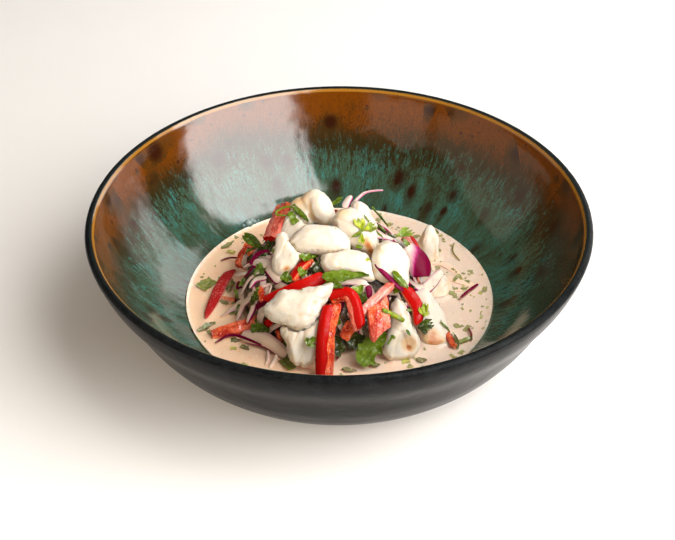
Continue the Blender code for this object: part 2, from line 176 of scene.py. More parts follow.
# strips that lie flesh side up
FLESH_UP = ("pepper_block", "pepper_wide", "pepper_left", "pepper_pink", "pepper_dark",
            "pepper_back_low")
SKIN_ENDED = "pepper_block"     # the cut at its far end shows skin
LEAST_PINK = 0.1
POINTED = 2.2               # how squarely a strip's ends are cut
ROUNDED = 2.5
HALF_SQUARE = 4.5
SQUARE = 7.0
PEPPER_CUP = 0.6            # how far a strip's sides bend down
# how pink the flesh is, orange where it is not
PINKNESS = {
    "pepper_block": 0.5, "pepper_wide": 0.42, "pepper_afloat": 3.0, "pepper_dark": 0.0,
    "pepper_pink": 1.6, "pepper_arch": 0.5, "pepper_rear": 1.2, "pepper_left": 0.4,
}
# how far the two ends are cut aslant, in millimetres from the middle to the side
SLANTS = {
    "pepper_wide": (3.4, 3.6), "pepper_arch": (0.0, 1.4), "pepper_block": (0.0, -1.2),
    "pepper_bar": (1.0, 1.5), "pepper_front": (2.0, 0.0), "pepper_hook": (-1.5, 0.0),
    "pepper_afloat": (2.6, 0.0), "pepper_pink": (1.0, 0.0), "pepper_rear": (1.5, 0.0),
}
# strips seen from a cut side: which side the skin is on, and the place across where it starts
SKIN_SIDES = {"pepper_front": (1, 0.3), "pepper_arch": (-1, 0.1)}

# name: three points along the middle, width, thickness, turn about the length, depth of the cup,
#       how wide the ends are as a share of the width
ONIONS = {
    "onion_petal": ((33, -1, 51), (39.5, -7, 47), (41, -13, 41), 14.0, 2.6, 18, 3.4, 0.45),
    "onion_crescent": ((33, -9, 36), (41, -11, 32), (50, 0, 34), 6.5, 2.4, 0, 0.6, 0.3),
    "onion_left_arc": ((-42, 0, 40.5), (-34.8, -9.5, 46), (-28.5, -22, 45), 7.0, 2.0, 0, 1.0, 0.25),
    "onion_left_slice": ((-47, -34, 21.6), (-35, -42, 25), (-25.5, -49, 21.5), 8.2, 1.3, 4, 1.4, 0.4),
    "onion_behind": ((13, 37, 36), (21, 35, 36), (29, 33, 30), 8.0, 2.4, 0, 1.5, 0.3),
}

# loose slices of onion: three points along the middle, width, how purple (1 is an edge, 2 all of it)
SLICES = [
    ((6, 26, 56), (13, 34, 58), (22, 36, 58), 2.4, 0.5),
    ((3, 22, 57), (4, 26, 58), (6, 31, 58), 4.6, 0.9),
    ((18, -3, 58), (22, -2, 57), (26, -3, 56), 3.6, 0.4),
    ((-42, 4, 40), (-33, -5, 46), (-28, -20, 45), 4.6, 0.2),
    ((-41, 6, 41), (-38, 2, 43), (-35, 0, 45), 2.2, 0.3),
    ((-40, -2, 42), (-45, -4, 36), (-50, 6, 20), 1.8, 2.0),
    ((-43, -16, 37), (-40, -13, 40), (-35, -16, 43), 3.6, 0.7),
    ((-37, -12, 41), (-37, -18, 39), (-40, -24, 34), 4.4, 0.8),
    ((-44, -30, 27), (-41, -22, 32), (-41, -15, 37), 4.4, 1.0),
    ((-39, -29, 29), (-36, -25, 36), (-34, -20, 41), 4.2, 0.5),
    ((-58, -15, 19), (-50, -10, 22), (-42, -15, 33), 5.4, 0.3),
    ((-50, -19, 19), (-47, -15, 26), (-42, -18, 33), 4.6, 0.4),
    ((-59.5, -37, 20.2), (-51, -33.5, 22.4), (-37, -42.5, 23.4), 1.5, 2.0),
    ((-40, -38, 24), (-33, -42, 26.4), (-25, -48, 23), 4.6, 0.6),
    ((-30, -48, 22), (-31, -51, 20.5), (-33, -54, 19), 2.6, 0.7),
    ((-34, -45, 22), (-34, -49, 20), (-35, -52, 19), 2.0, 0.9),
    ((17, -22, 56), (22, -27, 53), (30, -32, 47), 3.2, 1.8),
    ((-16, -14, 54), (-13, -17, 51), (-11, -20, 48), 5.0, 0.9),
    ((-3, -29, 50), (5, -29, 51), (13, -30, 50), 4.8, 0.5),
    ((3, -36, 49), (9, -33, 49), (14, -30, 49), 5.2, 0.3),
    ((13, -33, 51), (14, -34, 49), (14, -36, 46), 3.6, 2.0),
    ((59, -4, 20.2), (64, 2, 20.5), (69, 8, 20.2), 2.2, 2.0),
    ((62, -26, 20.0), (63, -31, 20.2), (63, -36, 20.0), 1.2, 2.0),
    ((1, -45, 23), (0, -47, 21), (-2, -50, 19.4), 1.4, 2.0),
    ((-60, 29, 20.2), (-56, 31, 20.5), (-51, 31, 20.4), 1.5, 2.0),
    ((45, 28, 19.2), (53, 26, 19.4), (60, 18, 19.1), 5.0, 0.2),
    ((48, 17, 19.3), (58, 13, 19.5), (67, 9, 19.1), 5.5, 0.3),
    ((52, 6, 19.3), (60, 5, 19.5), (66, 6, 19.2), 3.6, 0.2),
    ((26, -27, 37), (29, -29, 38), (31, -33, 34), 3.8, 0.6),
    ((19, 33, 40), (22, 31, 38), (24, 28, 35), 3.6, 1.0),
]

# leaves: kind, foot, tip, width, tone from dark to young (the darkest is painted shade for leaves in
# the heap's shade), how far the sides curl up
LEAVES = [
    ("blade", (-47, 22, 41), (-37.5, 8, 42.5), 5.4, 0.3, 0.9),
    ("leaf", (-40, 8, 41), (-32, -1, 44), 9.0, 0.1, 0.6),
    ("leaf", (-37, 2, 43), (-30, 9, 48), 7.0, 0.1, 0.5),
    ("cut", (-24, 15, 57.5), (-21, 9, 57.5), 4.2, 0.55, 0.3),
    ("blade", (-22.5, 17.5, 61.5), (-15, 10, 57), 3.2, 0.42, 1.2),
    ("cut", (-69, 7, 19.6), (-63, 13.5, 19.6), 8.0, 0.6, 0.4),
    ("leaf", (-55, 14, 19.5), (-55, 3, 19.5), 4.6, 0.3, 0.7),
    ("leaf", (-41, -10, 40), (-32, -10, 45), 6.5, 0.4, 0.9),
    ("leaf", (-27, -23, 50), (-22, -28, 50), 5.0, 0.35, 0.5),
    ("leaf", (-19, -17, 56), (-11, -16, 55), 3.8, 0.5, 0.6),
    ("leaf", (-12, -19, 53), (-8, -22, 51), 5.0, 0.1, 0.3),
    ("leaf", (-19, -23, 50), (-15, -22, 51), 4.5, 0.55, 0.4),
    ("leaf", (-8, -29, 53), (14, -29, 53.5), 6.2, 0.5, 1.5),
    ("leaf", (-6, -31, 52), (2, -38, 53), 5.0, 0.45, 0.6),
    ("blade", (-3, 24, 57), (2, 28, 59), 3.4, 0.45, 0.3),
    ("frond", (11, -6, 62.5), (9, 0.5, 65.5), 6.0, 0.78, 0.9),
    ("frond", (11.5, -5, 62.5), (17.5, -1, 62), 5.4, 0.7, 1.0),
    ("frond", (11, -6, 62), (10.5, -10, 58.5), 3.2, 0.8, 0.6),
    ("blade", (10.5, -6, 62), (6, -8, 60.5), 1.2, 0.5, 0.2),
    ("blade", (12, 4, 65), (15, 1, 64), 1.1, 0.45, 0.1),
    ("blade", (18, -5, 61), (21, -9, 61), 1.1, 0.5, 0.1),
    ("blade", (16, 25, 55), (24, 30, 40), 2.8, 0.5, 0.5),
    ("frond", (27, -4, 57.5), (35, 4, 56), 5.6, 0.6, 0.7),
    ("frond", (30, -3, 56), (33, -6, 54), 3.4, 0.4, 0.5),
    ("cut", (8, -11, 57.5), (11, -12, 57.5), 2.4, 0.6, 0.1),
    ("blade", (25, -26, 54), (32, -32, 48), 3.6, 0.55, 0.5),
    ("leaf", (-40, -23, 35), (-37, -20, 40), 4.5, 0.35, 0.5),
    ("leaf", (-68, -27, 19.5), (-60, -21, 19.6), 3.2, 0.3, 0.9),
    ("leaf", (-42, -33, 27), (-33, -37, 28), 4.6, 0.35, 0.5),
    ("cut", (-27, -49, 19.7), (-22, -56, 19.7), 5.2, 0.5, 0.5),
    ("parsley", (-15, -57, 34.5), (-11.5, -54.5, 37.5), 2.6, 0.5, 0.3),
    ("leaf", (-3, -36, 49), (3, -37, 46), 5.0, 0.2, 0.4),
    ("leaf", (-2, -43, 29), (0, -48, 20), 5.5, 0.15, 0.4),
    ("leaf", (6, -37, 50), (11, -33, 51), 4.6, 0.6, 0.6),
    ("leaf", (26, -28, 44), (30, -30, 46), 4.2, 0.65, 0.5),
    ("parsley", (38.5, -36, 35), (40.5, -32.5, 40), 3.8, 0.75, 0.4),
    ("parsley", (37, -35, 27), (44, -32, 28), 5.2, 0.2, 1.0),
    ("blade", (31, -39, 41), (34, -38, 40), 1.1, 0.5, 0.1),
    ("blade", (31, -46, 35), (33, -47, 32), 1.4, 0.4, 0.1),
    ("blade", (22, -50, 29), (25, -47, 32), 1.2, 0.4, 0.1),
    ("leaf", (9, -55, 22), (21, -45, 33), 11.0, 0.5, 1.6),
    ("leaf", (3, -45, 26), (12, -43, 29), 8.0, 0.08, 0.6),
    ("cut", (56, -37, 19.6), (63, -34, 19.6), 3.0, 0.55, 0.4),
    ("blade", (56, -42, 19.6), (55, -31, 19.8), 2.2, 0.25, 0.4),
    ("blade", (48, -29, 27), (53, -31, 21), 1.3, 0.35, 0.2),
    ("leaf", (-60, 41, 19.3), (-54, 47, 19.3), 3.4, 0.4, 0.2),
    ("cut", (-57, 38, 19.4), (-53, 37, 19.4), 2.6, 0.8, 0.1),
    ("leaf", (1, -56, 19.4), (8, -57, 19.4), 3.0, 0.3, 0.3),
    ("leaf", (14, -53, 19.4), (19, -53, 19.4), 3.0, 0.3, 0.3),
    ("cut", (29, -51, 19.4), (33, -50, 19.4), 2.4, 0.85, 0.1),
    ("leaf", (36, -49, 19.4), (41, -50, 19.4), 3.4, 0.3, 0.3),
    ("cut", (-52, -34, 19.4), (-48, -34, 19.4), 2.4, 0.3, 0.1),
    ("leaf", (-47, -38, 19.4), (-43, -41, 19.4), 3.0, 0.25, 0.3),
    ("cut", (-52, -40, 19.4), (-49, -40, 19.4), 2.0, 0.9, 0.1),
    ("leaf", (-59, -3, 19.4), (-54, -6, 19.4), 2.6, 0.3, 0.2),
]

# stalks: the points along each, thickness, tone
STALKS = [
    ([(-20.5, 16, 61.5), (-25.5, 18, 60.8), (-29.6, 18.5, 58.3), (-30.4, 16.2, 57.4),
      (-25, 14.5, 58)], 1.0, 0.62),
    ([(20, -45, 46), (25, -44, 42), (30, -43, 38)], 2.5, 0.7),
    ([(59, 44, 19.5), (58, 36, 19.8), (61, 29, 19.5)], 0.7, 0.6),
    ([(6, -8, 61), (9, -6.5, 62.5), (11, -5.5, 63.2)], 0.8, 0.6),
]

# bits of pepper: two ends, width, thickness
PEPPER_BITS = [
    ((52, -32, 20), (55, -41, 20), 4.6, 2.4), ((-29, -45, 33), (-28, -40, 25), 3.0, 2.4),
    ((-58, -1, 19), (-50, -4, 19.2), 3.2, 1.6), ((6, -43, 37), (2, -46, 30), 5.5, 3.0),
    ((-36, -28, 38), (-38, -19, 40), 3.0, 2.0),
]

# bubbles where the broth meets the wall: place, radius
BUBBLES = [
    ((-47.0, 61.2, 20.0), 2.3), ((-44.3, 62.8, 20.0), 1.7), ((-49.6, 59.4, 20.0), 1.3),
    ((-45.4, 62.4, 21.4), 1.2), ((-42.2, 63.8, 20.0), 1.0),
]

# chunks with a flat side: the way it faces, how far it is pressed in
PRESSED = {
    "fish_right": [((1.0, -0.25, 0.1), 2.8), ((0.1, -0.75, 0.65), 1.6)],
    "fish_right_low": [((0.2, -0.8, 0.5), 1.6)], "fish_top": [((-0.3, -0.6, 0.7), 1.2)],
    "fish_front_low": [((0.0, -0.9, 0.3), 1.5)],
}

# ---- how each chunk of fish flakes ------------------------------------------------------------
# name: bearing and tilt of its face, angle of the fibres on it, width of a flake, depth of the
#       creases between flakes, how ragged its edges are
FISH_GRAIN = {
    "fish_top": (0, 52, 62, 9.0, 0.25, 0.15),
    "fish_oval": (-5, 50, 2, 10.0, 0.22, 0.1),
    "fish_back_shard": (15, 52, 60, 7.0, 0.4, 0.4),
    "fish_upper_right": (10, 52, -55, 8.0, 0.5, 0.3),
    "fish_right": (25, 45, -70, 9.0, 0.35, 0.25),
    "fish_middle": (0, 48, -8, 8.0, 0.35, 0.35),
    "fish_left_upper": (-20, 50, 70, 5.0, 0.5, 0.4),
    "fish_left_flake": (-25, 42, 75, 6.0, 0.6, 0.5),
    "fish_front": (-8, 42, 14, 8.5, 0.28, 0.8),
    "fish_front_low": (-5, 38, 84, 5.5, 0.5, 0.5),
    "fish_rear_shard": (20, 20, 80, 5.5, 0.5, 0.4),
    "fish_half_sunk": (20, 68, 30, 5.0, 0.6, 0.6),
    "fish_right_low": (15, 42, 80, 7.5, 0.32, 0.35),
    "fish_right_long": (30, 62, 75, 8.0, 0.3, 0.35),
    "fish_rear_left": (205, 42, 10, 6.0, 0.55, 0.5),
    "fish_rear_middle": (178, 36, 5, 6.0, 0.55, 0.5),
    "fish_rear_right": (140, 40, 50, 6.0, 0.55, 0.5),
}
# stains, patches of painted shade and dents: the points each runs through, reach, darkness (0.4 tan, 1
# brown), depth of dent
STAINS_AND_SHADE = [
    ([(12.5, -7, 59), (14, -8.5, 56.5), (15.5, -9.5, 53)], 3.4, 1.0, 0.4),
    ([(-25, -20, 51)], 3.0, 0.9, 0.2), ([(33, -48.5, 28)], 6.4, 0.8, 1.2),
    ([(33, -49.3, 26.3)], 3.2, 1.4, 2.2),
    # the crease down the top chunk is a dent darkened partly as painted shade; the two wide tan patches
    # after it, without a dent, are painted shade on faces turned from the light
    ([(-15, 17, 65), (-14, 14, 60), (-12, 14, 56)], 2.4, 0.62, 0.9),
    ([(-19, 21, 63)], 10.0, 0.5, 0.0), ([(1, 5, 67)], 8.0, 0.42, 0.0),
    ([(-22, -11, 59), (-8, -16, 58), (5, -15, 58)], 1.3, 0.3, 0.6),
    ([(42, 34, 30)], 6.0, 0.42, 0.3), ([(44, -38, 25), (49, -43, 19)], 8.5, 1.15, 0.3),
    ([(-11, -46, 51)], 2.2, 0.45, 0.2), ([(-18, -50, 47)], 2.8, 0.3, 0.2),
    ([(29, -40, 39)], 1.5, 0.55, 0.1), ([(0, -26, 56)], 3.0, 0.32, 0.1),
    ([(50, 0, 23)], 5.0, 0.35, 0.4), ([(-20, -51, 40), (-14, -52, 40)], 3.0, 0.35, 0.2),
    ([(20, -18, 61)], 6.0, 0.25, 0.0), ([(16, -24, 53)], 2.6, 0.4, 0.2),
]

# ---- the light and the camera, in metres and degrees -------------------------------------------
# name: place, turn, width, height, the setting that gives its power, its share of it, tint
LIGHTS = {
    "key": ((0.62, -0.29, 0.69), (60.5, 9.8, 37.4), 0.98, 1.4, "key", 1.0, (1.0, 0.97, 0.95)),
    "back": ((0.713, 0.661, 0.30), (52.3, 29.4, 121.3), 0.446, 1.0, "back", 1.0, (1.0, 0.98, 0.96)),
    "fill_front": ((-0.565, -0.94, 0.53), (66.0, 0.0, -31.0), 0.64, 0.62, "fill", 0.27,
                   (1.0, 0.86, 0.74)),
    "fill_left": ((-1.13, -0.04, 0.45), (70.0, 0.0, -88.0), 1.5, 0.78, "fill", 0.6,
                  (1.0, 0.82, 0.64)),
    "card": ((0.625, 0.287, 1.446), (60.5, 9.8, 37.4), 0.54, 0.45, "key", 0.177, (1.0, 0.97, 0.95)),
    "bounce": ((-0.25, -1.2, 0.62), (62.7, 0.0, -11.8), 1.2, 0.8, "bounce", 1.0, (1.0, 0.84, 0.66)),
}
SEEN_ONLY = "card"          # shows in the glaze and lights nothing
UNSEEN = "bounce"           # lights the dish and shows in nothing
ROOM_TINT = (1.0, 0.98, 0.95)
ROOM_LIGHT = 0.02
CAMERA_PLACE = (0.0, -0.70308, 0.56209)
CAMERA_TURN = (53.171, 0.325, -0.175)
SENSOR_WIDTH = 36.0         # in millimetres
FLOOR_REACH = 4.0

# ---- colours that only one finish needs --------------------------------------------------------
TINTS = {
    "bright teal": (0.036, 0.250, 0.255), "pit": (0.016, 0.011, 0.005),
    "dark run": (0.013, 0.009, 0.003), "gold": (0.30, 0.135, 0.016), "lip": (0.010, 0.014, 0.013),
    "slate": (0.008, 0.009, 0.010), "painted slate sheen": (0.018, 0.023, 0.022), "clay": (0.30, 0.23, 0.17),
    "curd": (0.93, 0.82, 0.70), "oil": (0.86, 0.42, 0.16),
    "bubble foot": (0.05, 0.13, 0.12), "bubble crown": (0.34, 0.44, 0.42),
    "cooked flesh": (0.66, 0.56, 0.40), "fibre": (0.66, 0.57, 0.45), "speck": (0.16, 0.06, 0.02),
    "deep red": (0.36, 0.006, 0.003), "sodden red": (0.40, 0.018, 0.017),
    "painted sparkle": (0.75, 0.28, 0.24), "red flesh": (0.40, 0.020, 0.009),
    "deep pink": (0.52, 0.050, 0.036), "pink": (0.80, 0.22, 0.15), "pale pink": (0.88, 0.42, 0.36),
    "painted_glint": (0.95, 0.50, 0.35),
    "onion vein": (0.74, 0.64, 0.61), "grey flesh": (0.42, 0.29, 0.27), "soaked": (0.76, 0.55, 0.40),
    "magenta": (0.36, 0.006, 0.13),
    "chopped green": (0.10, 0.14, 0.02), "leaf vein": (0.30, 0.38, 0.06),
    "painted leaf highlight": (0.38, 0.50, 0.27), "floor shade": (0.80, 0.79, 0.77),
}


# ---- the settings a user may change -----------------------------------------------------------
def colour(name, description, default):
    return FloatVectorProperty(name=name, description=description, default=default, size=3,
                               min=0.0, max=1.0, subtype="COLOR")


def length(name, description, millimetres):
    return FloatProperty(name=name, description=description, default=millimetres * MM, min=0.0,
                         unit="LENGTH")


class BowlSettings(bpy.types.PropertyGroup):
    amber: colour("Amber", "Glaze where it runs thin under the rim", (0.122, 0.031, 0.0004))
    brown: colour("Brown", "Glaze between the amber and the teal", (0.024, 0.015, 0.003))
    teal: colour("Teal", "Glaze where it pools lower down the wall", (0.038, 0.125, 0.094))
    olive: colour("Olive", "Dark runs through the teal", (0.034, 0.036, 0.012))
    spots: colour("Spots", "Iron spots that break through the glaze", (0.020, 0.004, 0.001))
    outside: colour("Outside", "The lip and the outside", (0.003, 0.003, 0.0035))
    run_width: length("Run width", "Width of one fine run of glaze", 0.46)
    spot_size: length("Spot spacing", "Distance between iron spots", 11.5)


class BrothSettings(bpy.types.PropertyGroup):
    cream: colour("Cream", "The broth", (0.92, 0.63, 0.42))
    pale: colour("Pale", "Where the broth is whiter", (0.77, 0.615, 0.49))
    ripple: length("Ripple", "Height of the unevenness of the surface", 0.18)


class FishSettings(bpy.types.PropertyGroup):
    flesh: colour("Flesh", "Cooked white fish", (0.66, 0.60, 0.505))
    # painted shade in the creases and on the undersides, and the tan patches
    painted_shade_and_tan: colour("Seams", "The hollows between flakes and the tan patches", (0.64, 0.41, 0.18))
    stain: colour("Stain", "Brown specks and stains", (0.48, 0.15, 0.02))
    lumps: length("Lumps", "Height of the soft lumps", 0.55)


class PepperSettings(bpy.types.PropertyGroup):
    skin: colour("Skin", "The glossy outside", (0.40, 0.004, 0.003))
    flesh: colour("Flesh", "The moist inside of the wall", (0.74, 0.125, 0.035))
    pulp: colour("Pulp", "The palest part of the flesh", (0.88, 0.40, 0.26))
    bits: IntProperty(name="Bits", description="Small bits of pepper in the heap", default=14)


class OnionSettings(bpy.types.PropertyGroup):
    skin: colour("Skin", "The purple outside of a layer", (0.13, 0.002, 0.024))
    blush: colour("Blush", "Where the purple fades", (0.50, 0.22, 0.30))
    flesh: colour("Flesh", "The translucent inside", (0.68, 0.55, 0.45))


class SaladSettings(bpy.types.PropertyGroup):
    # painted shade: the near black of the gaps between the pieces
    shade: colour("Shade", "The hollows of the heap", (0.016, 0.011, 0.004))
    moist: colour("Moist", "What lies nearer the surface", (0.26, 0.17, 0.09))
    slices: IntProperty(name="Slices", description="Loose slices of onion in the heap", default=170)


class HerbSettings(bpy.types.PropertyGroup):
    leaf: colour("Leaf", "The upper side of a leaf", (0.105, 0.165, 0.004))
    young: colour("Young leaf", "The palest leaves", (0.40, 0.44, 0.010))
    # painted shade: the near black of leaves that lie in the heap's shade
    dark: colour("Dark leaf", "Leaves in the shade of the heap", (0.020, 0.030, 0.002))
    leaves: IntProperty(name="Leaves", description="Loose leaves in the heap", default=130)
    crumbs: IntProperty(name="Crumbs", description="Chopped bits in the broth", default=200)


class StageSettings(bpy.types.PropertyGroup):
    floor: colour("Floor", "The table", (0.86, 0.85, 0.83))
    key: FloatProperty(name="Key light", description="Large soft light from the front right",
                       default=29.5, unit="POWER")
    back: FloatProperty(name="Back light", description="Narrow light from the rear right",
                        default=3.6, unit="POWER")
    bounce: FloatProperty(name="Bounce", default=11.0, min=0.0,
                          description="Warm light from the front that leaves no reflection, in watts")
    fill: FloatProperty(name="Fill light", description="Weak wide light from the left",
                        default=2.9, unit="POWER")
    lens: FloatProperty(name="Lens", description="Focal length of the camera", default=0.09605,
                        unit="LENGTH")


SETTINGS = {"bowl": BowlSettings, "broth": BrothSettings, "fish": FishSettings,
            "pepper": PepperSettings, "onion": OnionSettings, "salad": SaladSettings,
            "herbs": HerbSettings, "stage": StageSettings}


def settings(name):
    return getattr(bpy.context.scene, "ceviche_" + name)


# ---- finishes ---------------------------------------------------------------------------------
class Value:
    """One output of a shader node. Arithmetic on it adds Math nodes to its finish."""

    def __init__(self, finish, socket):
        self.finish = finish
        self.socket = socket

    def math(self, operation, *values):
        return self.finish.node("Math", "Value", {"operation": operation}, dict(enumerate(values)))

    def root(self):
        return self.math("SQRT", self)

    def __add__(self, other):
        return self.math("ADD", self, other)

    def __sub__(self, other):
        return self.math("SUBTRACT", self, other)

    def __mul__(self, other):
        return self.math("MULTIPLY", self, other)

    def __truediv__(self, other):
        return self.math("DIVIDE", self, other)

    def __rsub__(self, other):
        return self.math("SUBTRACT", other, self)

    def __rtruediv__(self, other):
        return self.math("DIVIDE", other, self)

    __radd__ = __add__
    __rmul__ = __mul__

    def between(self, low, high):
        """0 up to low, 1 from high on, with a smooth rise."""
        return self.finish.node("MapRange", "Result", {"interpolation_type": "SMOOTHSTEP"},
                                {"Value": self, "From Min": low, "From Max": high})


class Finish:
    """A material that is being made: its nodes are added by the calls."""

    def __init__(self, name):
        self.material = bpy.data.materials.new(name)
        self.material.use_nodes = True
        self.tree = self.material.node_tree
        self.shader = self.tree.nodes["Principled BSDF"]

    def node(self, kind, output, options, values):
        node = self.tree.nodes.new("ShaderNode" + kind)
        for name, value in options.items():
            setattr(node, name, value)
        for name, value in values.items():
            self.feed(node.inputs[name], value)
        return Value(self, node.outputs[output])

    def feed(self, socket, value):
        if isinstance(value, Value):
            self.tree.links.new(value.socket, socket)
        elif hasattr(value, "__len__") and len(value) == 3 and len(socket.default_value) == 4:
            socket.default_value = (*value, 1.0)
        else:
            socket.default_value = value

    def place(self):
        return self.node("TexCoord", "Object", {}, {})

    def attribute(self, name, output="Fac"):
        return self.node("Attribute", output, {"attribute_name": name}, {})

    def parts(self, vector):
        return [self.node("SeparateXYZ", axis, {}, {"Vector": vector}) for axis in "XYZ"]

    def join(self, x, y, z):
        return self.node("CombineXYZ", "Vector", {}, {"X": x, "Y": y, "Z": z})

    def scaled(self, vector, scale):
        return self.node("Mapping", "Vector", {}, {"Vector": vector, "Scale": scale})

    def cloud(self, vector, size, detail=3.0, rough=0.55, warp=0.0):
        """Noise whose patches are about this many metres across, from 0 to 1."""
        return self.node("TexNoise", "Fac", {}, {"Vector": vector, "Scale": 1 / size, "Detail": detail,
                                                 "Roughness": rough, "Distortion": warp})

    def cells(self, vector, size, output="Distance", feature="F1"):
        return self.node("TexVoronoi", output, {"feature": feature},
                         {"Vector": vector, "Scale": 1 / size})

    def mix(self, share, first, second):
        return self.node("Mix", 2, {"data_type": "RGBA"}, {0: share, 6: first, 7: second})

    def shift(self, vector, amount):
        return self.node("VectorMath", "Vector", {"operation": "ADD"}, {0: vector, 1: amount})

    def bump(self, height, rise, below=None):
        """A surface that stands out by rise metres where height is 1."""
        values = {"Height": height, "Distance": rise, "Strength": 1.0}
        if below:
            values["Normal"] = below
        return self.node("Bump", "Normal", {}, values)

    def surface(self, values):
        for name, value in values.items():
            self.feed(self.shader.inputs[name], value)
        return self.material


def glaze_finish():
    """Reactive glaze: smooth amber under the rim, teal and olive runs down the wall, iron spots."""
    tints = settings("bowl")
    glaze = Finish("reactive_glaze")
    place = glaze.place()
    x, y = glaze.parts(place)[:2]
    radius = (x * x + y * y).root()
    fall = glaze.attribute("fall")

    def along_wall(stretch):
        """Places on the wall laid flat: round it, and down it shrunk so that patches stretch."""
        flat = 0.1 / radius
        return glaze.join(x * flat, y * flat, fall * (WALL_LENGTH * MM / stretch))

    fine = glaze.cloud(along_wall(3.6), tints.run_width, 4.0, 0.66)
    strand = glaze.cloud(along_wall(4.5), tints.run_width * 3.4, 3.0, 0.58)
    mottle = glaze.cloud(along_wall(1.5), tints.run_width * 1.4, 5.0, 0.70)
    flow = along_wall(1.3)
    patch = glaze.cloud(flow, 0.012, 4.0, 0.6)
    broad = glaze.cloud(place, 0.085, 2.0, 0.5)
    runs = fine * 0.50 + strand * 0.22 + mottle * 0.28
    # teal over olive, in runs that thicken down the wall
    depth = glaze.mix((runs * 0.8 + patch * 0.2).between(0.40, 0.62), tints.olive, tints.teal)
    bright = (patch * 0.4 + runs * 0.6).between(0.53, 0.66)
    depth = glaze.mix(bright * 0.7, depth, TINTS["bright teal"])
    pits = (patch * 0.45 + mottle * 0.55).between(0.56, 0.68)
    depth = glaze.mix(pits * 0.75, depth, TINTS["pit"])
    left = (0 - x).between(0.05, 0.115)
    rise = fall + (broad - 0.5) * 0.5 + (patch - 0.5) * 0.22 + 0.04 + left * 0.10
    teal_share = (1.17 - rise * 1.32 + (strand - 0.5) * 1.0 + (fine - 0.5) * 0.9).between(0.25, 0.78)
    amber_share = (rise + (strand - 0.5) * 0.45 + (mottle - 0.5) * 0.3).between(0.60, 0.92)
    warm = glaze.mix(amber_share, tints.brown, tints.amber)
    dark_share = (runs - 0.5).between(-0.05, 0.10) * (1.15 - fall) * 1.8
    warm = glaze.mix(dark_share, warm, TINTS["dark run"])
    body = glaze.mix(teal_share, warm, depth)
    # iron spots: a dark heart whose brown halo runs down the wall
    wobble = glaze.shift(flow, glaze.join(fine * 0.0012, strand * 0.0012, mottle * 0.0016))
    spacing = tints.spot_size
    below = glaze.shift(wobble, (0.0, 0.0, 0.0013))
    pick = glaze.parts(glaze.cells(wobble, spacing, "Color"))[0]
    size = pick.math("MAXIMUM", (pick - 0.12) * (fall * 0.32 + 0.34), 0.01)
    heart = 1 - (glaze.cells(wobble, spacing) / size).between(0.4, 1.15)
    halo = 1 - (glaze.cells(below, spacing) / size).between(0.8, 2.0)
    body = glaze.mix(halo * (0.35 + fine * 0.5), body, tints.brown)
    body = glaze.mix(heart * 0.92, body, tints.spots)
    small = glaze.cells(wobble, spacing * 0.36)
    small_pick = glaze.parts(glaze.cells(wobble, spacing * 0.36, "Color"))[1]
    speck = (1 - small.between(0.08, 0.3)) * small_pick.between(0.68, 0.8)
    body = glaze.mix(speck * 0.75, body, tints.spots)
    # golden where the glaze breaks over the lip
    ragged = fall + (mottle - 0.5) * 0.012
    gold = ragged.between(1.004, 1.014)
    body = glaze.mix(gold * 0.85, body, TINTS["gold"])
    body = glaze.mix(ragged.between(1.026, 1.036), body, TINTS["lip"])
    wave = glaze.cloud(flow, 0.017, 2.0, 0.45)
    rills = glaze.bump(fine * 0.6 + mottle * 0.4, 0.00003)
    relief = glaze.bump(wave, 0.0006, rills)
    return glaze.surface({"Base Color": body, "Roughness": 0.06 + fine * 0.06, "IOR": 1.70,
                          "Normal": relief})


def dark_glaze_finish():
    """The outside: near black with slate patches, a paler band painted as sheen round the lip's outer
    edge, bare clay under the foot ring.
    """
    tints = settings("bowl")
    glaze = Finish("dark_glaze")
    place = glaze.place()
    z = glaze.parts(place)[2]
    cloudy = glaze.cloud(place, 0.008, 4.0, 0.6)
    fine = glaze.cloud(place, 0.0012, 3.0, 0.6)
    tint = glaze.mix(cloudy.between(0.4, 0.75), tints.outside, TINTS["slate"])
    # painted sheen: a paler band round the lip's outer edge, broken by noise
    edge = z.between(PAINTED_LIP_SHEEN[0] * MM, PAINTED_LIP_SHEEN[1] * MM)
    tint = glaze.mix(edge * fine.between(0.3, 0.7) * 0.4, tint, TINTS["painted slate sheen"])
    bare = 1 - (z + (fine - 0.5) * 0.0003).between(0.0004, 0.0008)
    tint = glaze.mix(bare, tint, TINTS["clay"])
    relief = glaze.bump(glaze.cloud(place, 0.014, 2.0, 0.5) + fine * 0.03, 0.0004)
    return glaze.surface({"Base Color": tint, "Roughness": 0.2 + fine * 0.1 + bare * 0.6,
                          "IOR": 1.12, "Normal": relief})


